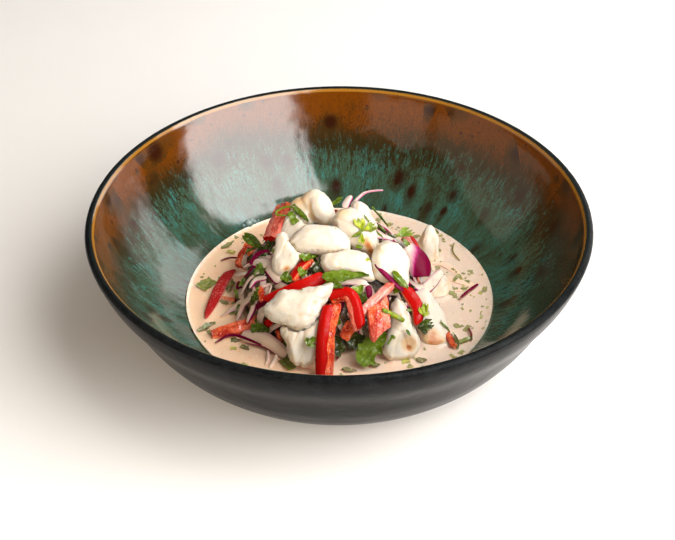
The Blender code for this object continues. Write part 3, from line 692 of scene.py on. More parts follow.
def broth_finish():
    """Cream-coloured broth with fine curds, a paler rim painted in curd colour as the highlight along
    its edge, and a few drops of oil.
    """
    tints = settings("broth")
    broth = Finish("broth")
    place = broth.place()
    swirl = broth.cloud(place, 0.035, 4.0, 0.6, 0.8)
    fleck = broth.cloud(place, 0.0022, 4.0, 0.65)
    curd = broth.cells(place, 0.0016)
    x, y = broth.parts(place)[:2]
    tint = broth.mix((swirl + x / 0.13).between(0.15, 0.95), tints.cream, tints.pale)
    curds = (1 - curd.between(0.1, 0.35)) * fleck.between(0.5, 0.62)
    tint = broth.mix(curds * 0.6, tint, TINTS["curd"])
    radius = (x * x + y * y).root()
    # painted highlight: a paler ring along the edge, broken by the flecks
    rim = radius.between((BROTH_RADIUS - 1.8) * MM, (BROTH_RADIUS + 0.2) * MM)
    rim = rim * fleck.between(0.35, 0.6)
    tint = broth.mix(rim * 0.6, tint, TINTS["curd"])
    oil = broth.cells(broth.shift(place, (0.3, 0.1, 0.0)), 0.0055)
    drop = 1 - oil.between(0.12, 0.16)
    tint = broth.mix(drop * 0.35, tint, TINTS["oil"])
    relief = broth.bump(fleck * 0.6 + broth.cloud(place, 0.006, 2.0) * 0.9, 0.0002)
    return broth.surface({"Base Color": tint, "Roughness": 0.16 + fleck * 0.18, "Normal": relief,
                          "Subsurface Weight": 0.35, "Subsurface Radius": (0.9, 0.5, 0.3),
                          "Subsurface Scale": 0.003, "Coat Weight": 0.4, "Coat Roughness": 0.06})


def bubble_finish():
    """Thin film: a painted reflection, paler towards the top, over darker teal round the foot."""
    film = Finish("bubble")
    place = film.place()
    # painted reflection: paler from the first bubble height to the second
    painted_reflection = film.parts(place)[2].between(BUBBLE_HEIGHTS[0] * MM, BUBBLE_HEIGHTS[1] * MM)
    swirl = film.cloud(place, 0.0012, 2.0, 0.5)
    tint = film.mix(painted_reflection * 0.7 + swirl * 0.3, TINTS["bubble foot"], TINTS["bubble crown"])
    return film.surface({"Base Color": tint, "Roughness": 0.08 + swirl * 0.06})


def creamed(finish, tint, place, share, reach=2.2):
    """Broth clings to whatever lies in it, up to a little above its surface."""
    height = finish.parts(place)[2]
    ragged = height + (finish.cloud(place, 0.003, 2.0, 0.5) - 0.5) * 0.0022
    film = 1 - ragged.between((BROTH_LEVEL + 0.1) * MM, (BROTH_LEVEL + reach) * MM)
    return finish.mix(film * share, tint, settings("broth").cream)


def fish_finish():
    """Opaque white flesh: fibres along each chunk's grain, warm painted shade in the creases and on the
    sides that face down, tan patches that are partly painted shade, and a few brown stains.
    """
    tints = settings("fish")
    fish = Finish("fish")
    place = fish.place()
    grain = fish.attribute("grain", "Vector")
    hollow = fish.attribute("hollow")
    mark = fish.attribute("mark")
    fibre = fish.cloud(fish.scaled(grain, (0.16, 1.0, 1.0)), 0.0011, 3.0, 0.6)
    soft = fish.cloud(place, 0.010, 3.0, 0.55)
    mottle = fish.cloud(place, 0.0035, 3.0, 0.6)
    tint = fish.mix(soft.between(0.45, 0.75) * 0.45, tints.flesh, TINTS["cooked flesh"])
    # painted shade: warm tan in the creases between flakes and on the sides that face down
    tint = fish.mix(hollow.between(0.2, 1.0) * 0.55, tint, tints.painted_shade_and_tan)
    tint = fish.mix(fibre.between(0.55, 0.8) * 0.2, tint, TINTS["fibre"])
    tint = creamed(fish, tint, place, 0.85, 4.8)
    # tan marks, some of them painted shade, and brown stains
    stain_and_shade_share = mark + (mottle - 0.5) * mark * 1.2
    tint = fish.mix(stain_and_shade_share.between(0.05, 0.5) * 0.7, tint, tints.painted_shade_and_tan)
    tint = fish.mix(stain_and_shade_share.between(0.5, 1.0) * 0.9, tint, tints.stain)
    dots = fish.cells(place, 0.0036)
    dot_pick = fish.parts(fish.cells(place, 0.0036, "Color"))[2]
    dot = (1 - dots.between(0.04, 0.1)) * dot_pick.between(0.9, 0.93)
    tint = fish.mix(dot * 0.8, tint, TINTS["speck"])
    relief = fish.bump(fibre * 0.5 + mottle * 0.5, 0.0001)
    return fish.surface({"Base Color": tint, "Roughness": 0.34 + mottle * 0.2, "Normal": relief,
                         "Subsurface Weight": 0.9, "Subsurface Radius": (1.0, 0.80, 0.56),
                         "Subsurface Scale": 0.0048, "Coat Weight": 0.15, "Coat Roughness": 0.18})


def pepper_finish():
    """Glossy red skin outside, moist orange flesh inside and along the cuts, with pale beads that are
    partly paler pulp and partly painted wet glints.
    """
    tints = settings("pepper")
    pepper = Finish("pepper")
    place = pepper.place()
    skin = pepper.attribute("skin")
    tone = pepper.attribute("tone")
    grain = pepper.attribute("grain", "Vector")
    cloud = pepper.cloud(place, 0.007, 3.0, 0.55)
    cell = pepper.cells(grain, 0.0010)
    fine = pepper.cloud(grain, 0.0009, 3.0, 0.6)
    pith = pepper.cloud(pepper.scaled(grain, (0.45, 1.0, 1.0)), 0.0030, 4.0, 0.62)
    red = pepper.mix(cloud.between(0.4, 0.75), tints.skin, TINTS["deep red"])
    sodden = tone.between(0.97, 1.0)
    red = pepper.mix(sodden, red, TINTS["sodden red"])
    # painted sparkles: pale flecks that stand for glints on the soaked skin
    painted_sparkles = sodden * (fine * 0.6 + pith * 0.4).between(0.53, 0.63)
    red = pepper.mix(painted_sparkles * 0.45, red, TINTS["painted sparkle"])
    flesh = pepper.mix(pith.between(0.40, 0.62), TINTS["red flesh"], tints.flesh)
    flesh = pepper.mix((pith * 0.5 + fine * 0.5).between(0.55, 0.66) * 0.6, flesh, tints.pulp)
    blotch = (pith * 0.7 + fine * 0.3).between(0.38, 0.66)
    pink = pepper.mix(blotch, TINTS["deep pink"], TINTS["pink"])
    flesh = pepper.mix((tone + (pith - 0.5) * 0.6).between(0.25, 0.75), flesh, pink)
    flesh = pepper.mix(tone.between(0.8, 1.0) * 0.6, flesh, TINTS["pale pink"])
    # painted glints: pale beads that stand for wet highlights, partly the paler pimples of the flesh
    painted_glint = (1 - cell.between(0.15, 0.40)) * fine.between(0.44, 0.56)
    flesh = pepper.mix(painted_glint * 0.65, flesh, TINTS["painted_glint"])
    shown = (skin + (fine - 0.5) * 0.12).between(0.40, 0.58)
    tint = creamed(pepper, pepper.mix(shown, flesh, red), place, 0.5)
    grains = (cell.between(0.1, 0.7) * 0.4 + fine * 0.6 + pith * 0.9) * (1 - shown)
    relief = pepper.bump(grains + fine * 0.18, 0.0004)
    wet = (pepper.cloud(place, 0.0022, 3.0, 0.6) - shown * 0.06).between(0.44, 0.56)
    return pepper.surface({"Base Color": tint, "Roughness": 0.26 - shown * 0.08 + cloud * 0.06,
                           "Normal": relief, "Subsurface Weight": 0.15,
                           "Subsurface Radius": (1.0, 0.2, 0.08), "Subsurface Scale": 0.0016,
                           "Specular IOR Level": 0.06,
                           "Coat Weight": wet * (1.0 - shown * 0.72),
                           "Coat Roughness": 0.08})


def onion_finish():
    """Translucent flesh with fine veins, purple skin that fades into it."""
    tints = settings("onion")
    onion = Finish("onion")
    place = onion.place()
    skin = onion.attribute("skin")
    grain = onion.attribute("grain", "Vector")
    vein = onion.cloud(onion.scaled(grain, (0.05, 1.0, 1.0)), 0.0008, 2.0, 0.6)
    cloud = onion.cloud(place, 0.008, 2.0, 0.5)
    flesh = onion.mix(vein.between(0.42, 0.7) * 0.6, tints.flesh, TINTS["onion vein"])
    flesh = onion.mix(cloud.between(0.45, 0.7) * 0.5, flesh, TINTS["grey flesh"])
    flesh = onion.mix(onion.attribute("tone") * (0.5 + vein * 0.5), flesh, TINTS["soaked"])
    tint = onion.mix((skin + (vein - 0.5) * 0.25).between(0.05, 0.5), flesh, tints.blush)
    tint = onion.mix((skin + (vein - 0.5) * 0.3).between(0.35, 0.7), tint, TINTS["magenta"])
    tint = onion.mix((skin + (cloud - 0.5) * 0.3).between(0.55, 0.92), tint, tints.skin)
    tint = creamed(onion, tint, place, 0.6)
    relief = onion.bump(vein + cloud * 3.0, 0.00007)
    wet = onion.cloud(place, 0.0034, 2.0, 0.5).between(0.54, 0.62)
    return onion.surface({"Base Color": tint, "Roughness": 0.17 + cloud * 0.1, "Normal": relief,
                          "Subsurface Weight": 0.3, "Subsurface Radius": (1.0, 0.6, 0.7),
                          "Subsurface Scale": 0.0012, "Specular IOR Level": 0.05,
                          "Coat Weight": wet * (0.5 - skin * 0.46), "Coat Roughness": 0.06})


def salad_finish():
    """The core of the heap, seen only in the gaps between the pieces: near black painted shade in
    patches, moist brown between, flecked with green.
    """
    tints = settings("salad")
    salad = Finish("salad")
    place = salad.place()
    coarse = salad.cloud(place, 0.006, 4.0, 0.65, 0.6)
    fine = salad.cloud(place, 0.0016, 3.0, 0.6)
    # near black painted shade in patches, moist brown between
    tint = salad.mix(coarse.between(0.4, 0.65), tints.shade, tints.moist)
    tint = salad.mix(fine.between(0.6, 0.75) * 0.5, tint, TINTS["chopped green"])
    relief = salad.bump(coarse + fine * 0.4, 0.0008)
    return salad.surface({"Base Color": tint, "Roughness": 0.25 + fine * 0.25, "Normal": relief,
                          "Coat Weight": 0.4, "Coat Roughness": 0.1})


def herb_finish():
    """Leaf green from dark to young, its darkest end painted shade for leaves in the heap's shade, with
    paler veins and stalks and patches of painted highlight.
    """
    tints = settings("herbs")
    herb = Finish("herbs")
    place = herb.place()
    tone = herb.attribute("tone")
    grain = herb.attribute("grain", "Vector")
    mottle = herb.cloud(place, 0.0025, 3.0, 0.6)
    age = tone + (mottle - 0.5) * 0.6
    # the dark end is painted shade for leaves that lie in the heap's shade
    tint = herb.mix(age.between(0.1, 0.5), tints.dark, tints.leaf)
    tint = herb.mix(age.between(0.55, 0.95), tint, tints.young)
    vein = herb.cloud(herb.scaled(grain, (0.12, 1.0, 1.0)), 0.0009, 2.0, 0.5)
    tint = herb.mix(vein.between(0.58, 0.7) * 0.3, tint, TINTS["leaf vein"])
    sheen = herb.cloud(place, 0.0018, 2.0, 0.5)
    # painted highlight: pale patches on the leaf; the same noise sets the coat
    tint = herb.mix(sheen.between(0.56, 0.70) * 0.5, tint, TINTS["painted leaf highlight"])
    tint = creamed(herb, tint, place, 0.24)
    relief = herb.bump(vein * 0.6 + mottle * 1.6, 0.0005)
    return herb.surface({"Base Color": tint, "Roughness": 0.3 + mottle * 0.2, "Normal": relief,
                         "Subsurface Weight": 0.15, "Subsurface Radius": (0.4, 1.0, 0.2),
                         "Subsurface Scale": 0.001, "Specular IOR Level": 0.3,
                         "Coat Weight": sheen.between(0.45, 0.6) * 0.7, "Coat Roughness": 0.1})


def floor_finish():
    """A pale table, faintly mottled."""
    floor = Finish("floor")
    grain = floor.cloud(floor.place(), 0.05, 3.0, 0.5)
    tint = floor.mix(grain.between(0.3, 0.7) * 0.12, settings("stage").floor, TINTS["floor shade"])
    return floor.surface({"Base Color": tint, "Roughness": 0.55})


# ---- shared modelling -------------------------------------------------------------------------
def curve_point(points, place):
    """A point on the smooth curve through the given ones; place runs from 0 to 1."""
    spans = len(points) - 1
    index = min(int(place * spans), spans - 1)
    t = place * spans - index
    before, start, end, after = (Vector(points[min(max(index + step, 0), spans)])
                                 for step in (-1, 0, 1, 2))
    return 0.5 * (2 * start + (end - before) * t + (2 * before - 5 * start + 4 * end - after) * t * t
                  + (3 * start - before - 3 * end + after) * t ** 3)


def smooth_line(points, per_span):
    count = (len(points) - 1) * per_span
    return [curve_point(points, step / count) for step in range(count + 1)]


def block(kind):
    """A mesh of a cube from -1 to 1, cut as finely as this kind of piece needs."""
    bm = bmesh.new()
    bmesh.ops.create_cube(bm, size=2.0)
    for axis, count in enumerate(CUTS[kind]):
        edges = [edge for edge in bm.edges
                 if abs(edge.verts[0].co[axis] - edge.verts[1].co[axis]) > 0.5]
        if count:
            bmesh.ops.subdivide_edges(bm, edges=edges, cuts=count, use_grid_fill=True)
    mesh = bpy.data.meshes.new("block")
    bm.to_mesh(mesh)
    bm.free()
    return mesh


class Batch:
    """One piece that is put together from bent copies of a cube."""

    def __init__(self, name, kind):
        self.name = name
        self.cube = block(kind)
        self.bm = bmesh.new()
        self.skin = self.bm.verts.layers.float.new("skin")
        self.tone = self.bm.verts.layers.float.new("tone")
        self.grain = self.bm.verts.layers.float_vector.new("grain")

    def change(self, kind):
        """The copies that follow are of a cube cut for another kind of piece."""
        bpy.data.meshes.remove(self.cube)
        self.cube = block(kind)

    def add(self, move):
        """Adds a copy of the cube; move gives a point's new place, skin and tone, and grain."""
        start = len(self.bm.verts)
        self.bm.from_mesh(self.cube)
        self.bm.verts.ensure_lookup_table()
        for vert in self.bm.verts[start:]:
            vert.co, (vert[self.skin], vert[self.tone]), vert[self.grain] = move(vert.co)

    def finish(self, material, slot=None, replaced=()):
        bpy.data.meshes.remove(self.cube)
        bmesh.ops.recalc_face_normals(self.bm, faces=self.bm.faces)
        for vert in self.bm.verts:
            vert[self.grain] = vert[self.grain] * MM
        keep(self.name, self.bm, material, slot, replaced)


def keep(name, bm, material, slot, replaced=(), sharp=40.0):
    """Makes an object of a bmesh in millimetres and fixes it to the dish.

    Edges that turn by more than sharp degrees stay crisp.
    """
    bmesh.ops.scale(bm, vec=(MM, MM, MM), verts=bm.verts)
    mesh = bpy.data.meshes.new(name)
    bm.to_mesh(mesh)
    bm.free()
    mesh.shade_smooth()
    mesh.set_sharp_from_angle(angle=math.radians(sharp))
    mesh.materials.append(material)
    item = bpy.data.objects.new(name, mesh)
    bpy.context.scene.collection.objects.link(item)
    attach(item, "root")
    if replaced:
        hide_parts(*replaced)
    return item


def spun(profile, steps):
    """A bmesh of a profile of (radius, height) points, turned about the upright axis."""
    bm = bmesh.new()
    verts = [bm.verts.new((radius, 0.0, height)) for radius, height in profile]
    edges = [bm.edges.new(pair) for pair in zip(verts, verts[1:])]
    bmesh.ops.spin(bm, geom=verts + edges, angle=2 * math.pi, steps=steps, axis=(0, 0, 1),
                   cent=(0, 0, 0), use_merge=True)
    bmesh.ops.remove_doubles(bm, verts=bm.verts, dist=0.001)
    return bm


def in_millimetres(*meshes):
    """A bmesh of meshes that are in metres."""
    bm = bmesh.new()
    for mesh in meshes:
        bm.from_mesh(mesh)
    bmesh.ops.scale(bm, vec=(1 / MM, 1 / MM, 1 / MM), verts=bm.verts)
    return bm


def search_tree(meshes):
    """A search tree, in millimetres, of meshes."""
    bm = in_millimetres(*meshes)
    tree = BVHTree.FromBMesh(bm)
    bm.free()
    return tree


def tree_without(*names):
    """A search tree of every CAD node but these."""
    return search_tree([node.data for name, node in frame["nodes"].items() if name not in names])


def smoothed(bm, passes):
    """Softens a mesh and brings its normals up to date."""
    for _ in range(passes):
        bmesh.ops.smooth_vert(bm, verts=bm.verts, factor=0.5, use_axis_x=True, use_axis_y=True,
                              use_axis_z=True)
    bm.normal_update()


def clamp(value, low=0.0, high=1.0):
    return max(low, min(high, value))


def uneven(seed, x, y=0.0, z=0.0):
    """Smooth unevenness, from about -1 to 1, at a place in a piece's own pattern."""
    return noise.noise(Vector((x, y, z)) + seed)


def upright(point):
    return Vector((0.0, 0.0, 1.0))


def heap_normal(point):
    """The way out of the heap at a point."""
    away = Vector((point.x - HEAP_CENTRE.x, point.y - HEAP_CENTRE.y, (point.z - HEAP_CENTRE.z) * 1.1))
    return away.normalized()


def afloat(*points):
    """Whether a piece through these points floats on the broth."""
    return max(point[2] for point in points) < BROTH_LEVEL + AFLOAT


def settled(tree, point, outward, down, up):
    """The point moved along outward on to the food, by no more than these distances."""
    found = tree.ray_cast(point + outward * up, -outward, up + down)
    return point if found[0] is None else found[0]


def hump(value, middle, reach):
    """1 at the middle, falling smoothly to 0 at this distance from it."""
    away = abs(value - middle) / reach
    return 0.0 if away >= 1 else (1 - away * away) ** 2


# ---- the bowl ---------------------------------------------------------------------------------
def make_bowl():
    """The bowl's section, turned about its axis; the inside is glazed apart from the outside."""
    lines = [smooth_line(UNDERSIDE + OUTER_WALL[:2], WALL_SPAN_POINTS)[:-WALL_SPAN_POINTS],
             smooth_line(OUTER_WALL + LIP[:1], WALL_SPAN_POINTS)[:-1],
             smooth_line(LIP, WALL_SPAN_POINTS)[:-1],
             smooth_line([LIP[-1]] + INNER_WALL, WALL_SPAN_POINTS)]
    bm = spun([tuple(point[:2]) for line in lines for point in line], BOWL_STEPS)
    fall = bm.verts.layers.float.new("fall")
    for vert in bm.verts:
        vert[fall] = (vert.co.z - BROTH_LEVEL) / (LIP_EDGE - BROTH_LEVEL)
    bmesh.ops.recalc_face_normals(bm, faces=bm.faces)
    for face in bm.faces:
        middle = face.calc_center_median()
        upward = face.normal.z > 0 and middle.z > FLOOR_HEIGHT - 0.5
        face.material_index = 0 if upward and middle.xy.length < GLAZE_EDGE else 1
    bowl = keep("stoneware_bowl", bm, glaze_finish(), "glaze", ["bowl"], sharp=60.0)
    bowl.data.materials.append(dark_glaze_finish())


# ---- the broth --------------------------------------------------------------------------------
def make_broth():
    """The surface creeps up the wall and up whatever stands in it."""
    edge = BROTH_RADIUS + BROTH_OVERLAP
    profile = [(edge * (step / BROTH_RINGS) ** 0.85, BROTH_LEVEL) for step in range(BROTH_RINGS + 1)]
    profile += [(edge, BROTH_LEVEL - BROTH_DEPTH / 2), (edge - 6.0, BROTH_LEVEL - BROTH_DEPTH),
                (0.0, BROTH_LEVEL - BROTH_DEPTH)]
    bm = spun(profile, BROTH_STEPS)
    others = tree_without("bowl", "broth")
    ripple = settings("broth").ripple / MM
    for vert in bm.verts:
        if vert.co.z < BROTH_LEVEL - 0.5:
            continue
        radius = vert.co.xy.length
        lift = WALL_CREEP * math.exp((radius - BROTH_RADIUS) / 1.3)
        found = others.find_nearest(vert.co, 6.0)
        if found[0] is not None:
            lift += FOOD_CREEP * math.exp(-found[3] / 1.4)
        flat = Vector((vert.co.x, vert.co.y, 0.0))
        lift += ripple * (noise.noise(flat / 9.0) + 0.5 * noise.noise(flat / 3.5))
        vert.co.z += lift
    bmesh.ops.recalc_face_normals(bm, faces=bm.faces)
    keep("cream_broth", bm, broth_finish(), "broth", ["broth"], sharp=60.0)
    bm = bmesh.new()
    for spot, radius in BUBBLES:
        bmesh.ops.create_uvsphere(bm, u_segments=18, v_segments=10, radius=radius,
                                  matrix=Matrix.Translation(spot))
    keep("broth_bubbles", bm, bubble_finish(), "broth", sharp=60.0)


# ---- the fish ---------------------------------------------------------------------------------
def face_axes(bearing, tilt):
    turn = math.radians(bearing)
    lift = math.radians(tilt)
    outward = Vector((math.sin(turn) * math.cos(lift), -math.cos(turn) * math.cos(lift),
                      math.sin(lift)))
    right = Vector((math.cos(turn), math.sin(turn), 0.0))
    return right, outward.cross(right), outward


def remeshed(name, voxel):
    """A bmesh in millimetres of a CAD node's shape, closed and evenly divided."""
    bm = bmesh.new()
    bm.from_mesh(frame["nodes"][name].data)
    bmesh.ops.remove_doubles(bm, verts=bm.verts, dist=0.00001)
    mesh = bpy.data.meshes.new("draft")
    bm.to_mesh(mesh)
    bm.free()
    draft = bpy.data.objects.new("draft", mesh)
    bpy.context.scene.collection.objects.link(draft)
    remesh = draft.modifiers.new("even", "REMESH")
    remesh.mode = "VOXEL"
    remesh.voxel_size = voxel * MM
    graph = bpy.context.evaluated_depsgraph_get()
    even = bpy.data.meshes.new_from_object(draft.evaluated_get(graph))
    bpy.data.objects.remove(draft, do_unlink=True)
    return in_millimetres(even)


def pressed(bm, way, amount):
    """Presses the side that faces one way flat."""
    way = Vector(way).normalized()
    level = max(vert.co.dot(way) for vert in bm.verts) - amount
    for vert in bm.verts:
        over = vert.co.dot(way) - level
        if over > 0:
            vert.co -= way * over * PRESS_SHARE


def flattened(bm, count, depth, firmness, chance):
    """Presses soft flats into the outside, as pulling a fillet apart leaves it."""
    bm.verts.ensure_lookup_table()
    spots = KDTree(len(bm.verts))
    for vert in bm.verts:
        spots.insert(vert.co, vert.index)
    spots.balance()
    low = Vector(min(vert.co[axis] for vert in bm.verts) for axis in range(3))
    high = Vector(max(vert.co[axis] for vert in bm.verts) for axis in range(3))
    for _ in range(count):
        # chosen by place, as the order of a remesh's points isn't the same each time
        aim = Vector(chance.uniform(low[axis] - 4, high[axis] + 4) for axis in range(3))
        spot = spots.find(aim)[0]
        way = Vector()
        for _, index, _ in spots.find_range(spot, 2.0):
            way += bm.verts[index].normal
        way.normalize()
        reach = chance.uniform(*FLAT_REACH)
        level = spot.dot(way) - chance.uniform(0.2, 0.9) * depth
        for _, index, away in spots.find_range(spot, reach):
            vert = bm.verts[index]
            over = vert.co.dot(way) - level
            hold = max(0.0, 1 - (over / FLAT_FADE) ** 2) * (1 - (away / reach) ** 3)
            vert.co -= way * over * hold * firmness


def stain_and_shade_at(point, lines):
    """How stained, how tan with painted shade and how dented the fish is at a point."""
    dark = dent = 0.0
    for line, reach, darkness, depth in lines:
        share = max(hump((point - spot).length, 0.0, reach) for spot in line)
        dark = max(dark, share * darkness)
        dent = max(dent, share * depth)
    return dark, dent


def make_fish():
    """Each chunk is its CAD shape, flattened where it was pulled apart and then flaked."""
    noise.seed_set(NOISE_SEED)
    material = fish_finish()
    lumps = settings("fish").lumps / MM
    lines = [(smooth_line(points, 6) if len(points) > 1 else [Vector(points[0])], reach, dark, dent)
             for points, reach, dark, dent in STAINS_AND_SHADE]
    for name, (bearing, tilt, angle, width, depth, rag) in FISH_GRAIN.items():
        bm = remeshed(name, FISH_VOXEL)
        low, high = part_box(name)
        middle = (low + high) / 2 / MM
        bm.normal_update()
        for way, amount in PRESSED.get(name, []):
            pressed(bm, way, amount)
        flattened(bm, FISH_FLATS, 0.04 + depth * 1.3, 0.35 + rag * 0.5, random.Random(name))
        smoothed(bm, FISH_PASSES)
        grain = bm.verts.layers.float_vector.new("grain")
        hollow = bm.verts.layers.float.new("hollow")
        mark = bm.verts.layers.float.new("mark")
        right, up, outward = face_axes(bearing, tilt)
        spin = math.radians(angle)
        along = right * math.cos(spin) + up * math.sin(spin)
        across = up * math.cos(spin) - right * math.sin(spin)
        moves = []
        for vert in bm.verts:
            away = vert.co - middle
            ahead, aside, above = away.dot(along), away.dot(across), away.dot(outward)
            bend = noise.noise_vector(Vector((ahead / 11.0, aside / 8.0, above / 8.0)) + middle) * 0.28
            flake = Vector((ahead / (width * FLAKE_LENGTH), aside / width,
                            above / (width * FLAKE_THICKNESS)))
            spot = flake + bend + middle
            reaches, flakes = noise.voronoi(spot)
            crease = math.exp(-((reaches[1] - reaches[0]) / CREASE_WIDTH) ** 2)
            wide = noise.noise(vert.co / LUMP_SIZE + middle)
            crease *= clamp(0.5 + 1.3 * wide)
            chance = noise.noise_vector(flakes[0] * 4.7)
            tip = spot - flakes[0]
            lift = depth * (0.8 * chance.x + 2.0 * chance.y * tip.y + 1.2 * chance.z * tip.x)
            lump = lumps * (wide + 0.25 * noise.noise(vert.co / 3.5 + middle))
            edge = clamp(1 - abs(vert.normal.dot(outward))) ** 0.7
            torn = rag * uneven(middle, ahead / 2.6, aside / 1.6, above / 1.8) * edge
            crumb = 0.05 * (1 + rag) * noise.noise(vert.co / 0.9)
            dark, dent = stain_and_shade_at(vert.co, lines)
            moves.append((vert, lift + lump + torn + crumb - dent - depth * 0.7 * crease))
            vert[grain] = Vector((ahead, aside, above)) * MM
            # painted shade: strongest in deep creases and on the sides that face down
            vert[hollow] = crease * min(depth * 1.5, 1.0) + 0.35 * clamp(0.3 - vert.normal.z)
            vert[mark] = dark
        for vert, move in moves:
            vert.co += vert.normal * move
        keep(name.replace("fish", "flaked_fish"), bm, material, "fish", [name], sharp=80.0)


# ---- the pepper and the onion -----------------------------------------------------------------
class Strip:
    """A strip along a smooth line, cupped across, drawn in at its ends.

    turn is about its length, in degrees; cup is how far its sides bend down; ends are the widths of
    its two ends as shares of its own; facing gives the way out at a point; blunt is how squarely the
    ends are cut, and slant how far aslant.
    """

    def __init__(self, points, width, thickness, turn, cup, ends, facing=heap_normal,
                 blunt=ROUNDED, slant=(0.0, 0.0)):
        self.points = points
        self.blunt = blunt
        self.slant = slant
        self.width = width
        self.thickness = thickness
        self.turn = math.radians(turn)
        self.cup = cup
        self.ends = ends
        self.facing = facing
        self.length = sum((curve_point(points, (step + 1) / 8) - curve_point(points, step / 8)).length
                          for step in range(8))

    def frame_at(self, place):
        """The point at a place along the strip, and the ways along, across and outward there."""
        point = curve_point(self.points, place)
        along = (curve_point(self.points, min(place + 0.04, 1.0))
                 - curve_point(self.points, max(place - 0.04, 0.0))).normalized()
        outward = self.facing(point)
        outward = (outward - along * outward.dot(along)).normalized()
        outward.rotate(Matrix.Rotation(self.turn, 3, along))
        return point, along, along.cross(outward), outward

    def size_at(self, place):
        """The strip's width at a place along it, as a share of its full width."""
        run = 2 * place - 1
        tip = self.ends[0] if run < 0 else self.ends[1]
        draw = 0.5 if tip > 0.2 else 1.0
        return tip + (1 - tip) * max(0.0, 1 - abs(run) ** self.blunt) ** draw


def pepper_bend(strip, seed, flip, skin_side=None, skin_end=False, pinkness=0.0):
    """Bends a cube into a strip of pepper: smooth skin on one face, moist flesh on the others.

    flip puts the skin underneath. skin_side puts it on a side instead: which, and where it starts.
    """
    round_off = 0.12 if skin_side is None else 0.40

    def bend(co):
        place = (co.x + 1) / 2
        point, along, across, outward = strip.frame_at(place)
        size = strip.size_at(place)
        side = co.y * math.sqrt(1 - round_off * co.z ** 2)
        rise = co.z * math.sqrt(1 - round_off * co.y ** 2)
        half = strip.width / 2 * size
        deep = strip.thickness / 2 * (0.7 + 0.3 * size)
        sag = strip.cup * size * side * side
        local = Vector((place * strip.length, side * half, rise * deep))
        on_skin = -co.z if flip else co.z
        skin = 0.5 + (on_skin - 0.8) * 4.0
        if skin_side is not None:
            way, start = skin_side
            skin = 0.5 + way * (co.y - start + 0.25 * noise.noise(local / 5.0 + seed)) * 3.0
        if skin_end and co.x > 0.97:
            skin = 1.0
        skin = clamp(skin)
        soft = noise.noise(local / 8.0 + seed) * 0.35
        rough = noise.noise(local / 1.3 + seed) * 0.3 + noise.noise(local / 3.5 + seed) * 0.5
        pimple = noise.noise(local / 1.1 + seed) * 0.24
        swell = soft + (rough + pimple) * (1 - skin) + noise.noise(local / 2.6 + seed) * 0.12
        ragged = uneven(seed, side * 2.2, rise * 1.3, 7.0) * 0.9 * abs(co.x) ** 8
        ragged += strip.slant[co.x > 0] * side * abs(co.x) ** 3
        place_at = (point + across * (side * half + side * swell * 0.4)
                    + outward * (rise * deep - sag + rise * swell) + along * ragged)
        return place_at, (skin, clamp(pinkness * (0.3 + 1.4 * place))), local
    return bend


def make_pepper():
    """Each strip from its line, and small bits of pepper among the slices."""
    material = pepper_finish()
    for name, (start, middle, end, width, thickness, turn, *ends) in PEPPERS.items():
        strip = Strip((start, middle, end), width, thickness, turn, PEPPER_CUP, ends,
                      upright if name == "pepper_afloat" else heap_normal,
                      POINTED if min(ends) < 0.55 else SQUARE, SLANTS.get(name, (0.0, 0.0)))
        batch = Batch(name.replace("pepper", "pepper_strip"), "pepper")
        batch.add(pepper_bend(strip, Vector(middle) * 1.3, name in FLESH_UP, SKIN_SIDES.get(name),
                              name == SKIN_ENDED, PINKNESS.get(name, LEAST_PINK)))
        batch.finish(material, "pepper", [name])
    batch = Batch("pepper_bits", "pepper bit")
    for start, end, width, thickness in PEPPER_BITS:
        middle = (Vector(start) + Vector(end)) / 2
        strip = Strip((start, middle, end), width, thickness, 15, 0.2, (0.8, 0.6), blunt=HALF_SQUARE)
        batch.add(pepper_bend(strip, middle, True))
    for spot, outward, run in heap_spots(settings("pepper").bits, random.Random(PEPPER_SEED), 1.5):
        reach = run * 3.5
        strip = Strip((spot - reach, spot + outward * 0.5, spot + reach), 3.6, 2.4, 0, 0.3, (0.8, 0.6),
                      lambda point, outward=outward: outward, HALF_SQUARE)
        batch.add(pepper_bend(strip, spot, spot.x > 0))
    batch.finish(material, "pepper")


def onion_bend(strip, seed, skin_at, soaked):
    """Bends a cube into a layer of onion, thinner towards its sides and tips."""
    def bend(co):
        place = (co.x + 1) / 2
        point, along, across, outward = strip.frame_at(place)
        size = strip.size_at(place)
        half = strip.width / 2 * size
        deep = strip.thickness / 2 * (0.4 + 0.6 * size) * (1 - 0.45 * co.y ** 4)
        side = co.y * math.sqrt(1 - 0.3 * co.z ** 2)
        sag = strip.cup * size * side * side
        local = Vector((place * strip.length, side * half, co.z * deep))
        wave = noise.noise(local / 6.0 + seed) * min(strip.width * 0.09, 0.6)
        place_at = point + across * side * half + outward * (co.z * deep - sag + wave)
        return place_at, (skin_at(co, place_at), soaked), local
    return bend


def edge_purple(amount):
    """Skin colour on one edge of a slice, on all of it when the amount nears 2."""
    def skin_at(co, place_at):
        edge = amount * (0.95 * hump(co.y, 1.0, 0.38) + 0.3 * hump(co.y, -1.0, 0.2))
        return max(amount - 1.0, min(edge, 1.0))
    return skin_at


def petal_purple(co, place_at):
    """The large petal is pale on its left and wine dark towards its foot."""
    if co.z < -0.5:
        return 0.1
    return clamp((place_at.x - 33.0) / 5.5, 0.15, 1.0) * clamp((57.0 - place_at.z) / 9.0, 0.55, 1.3)


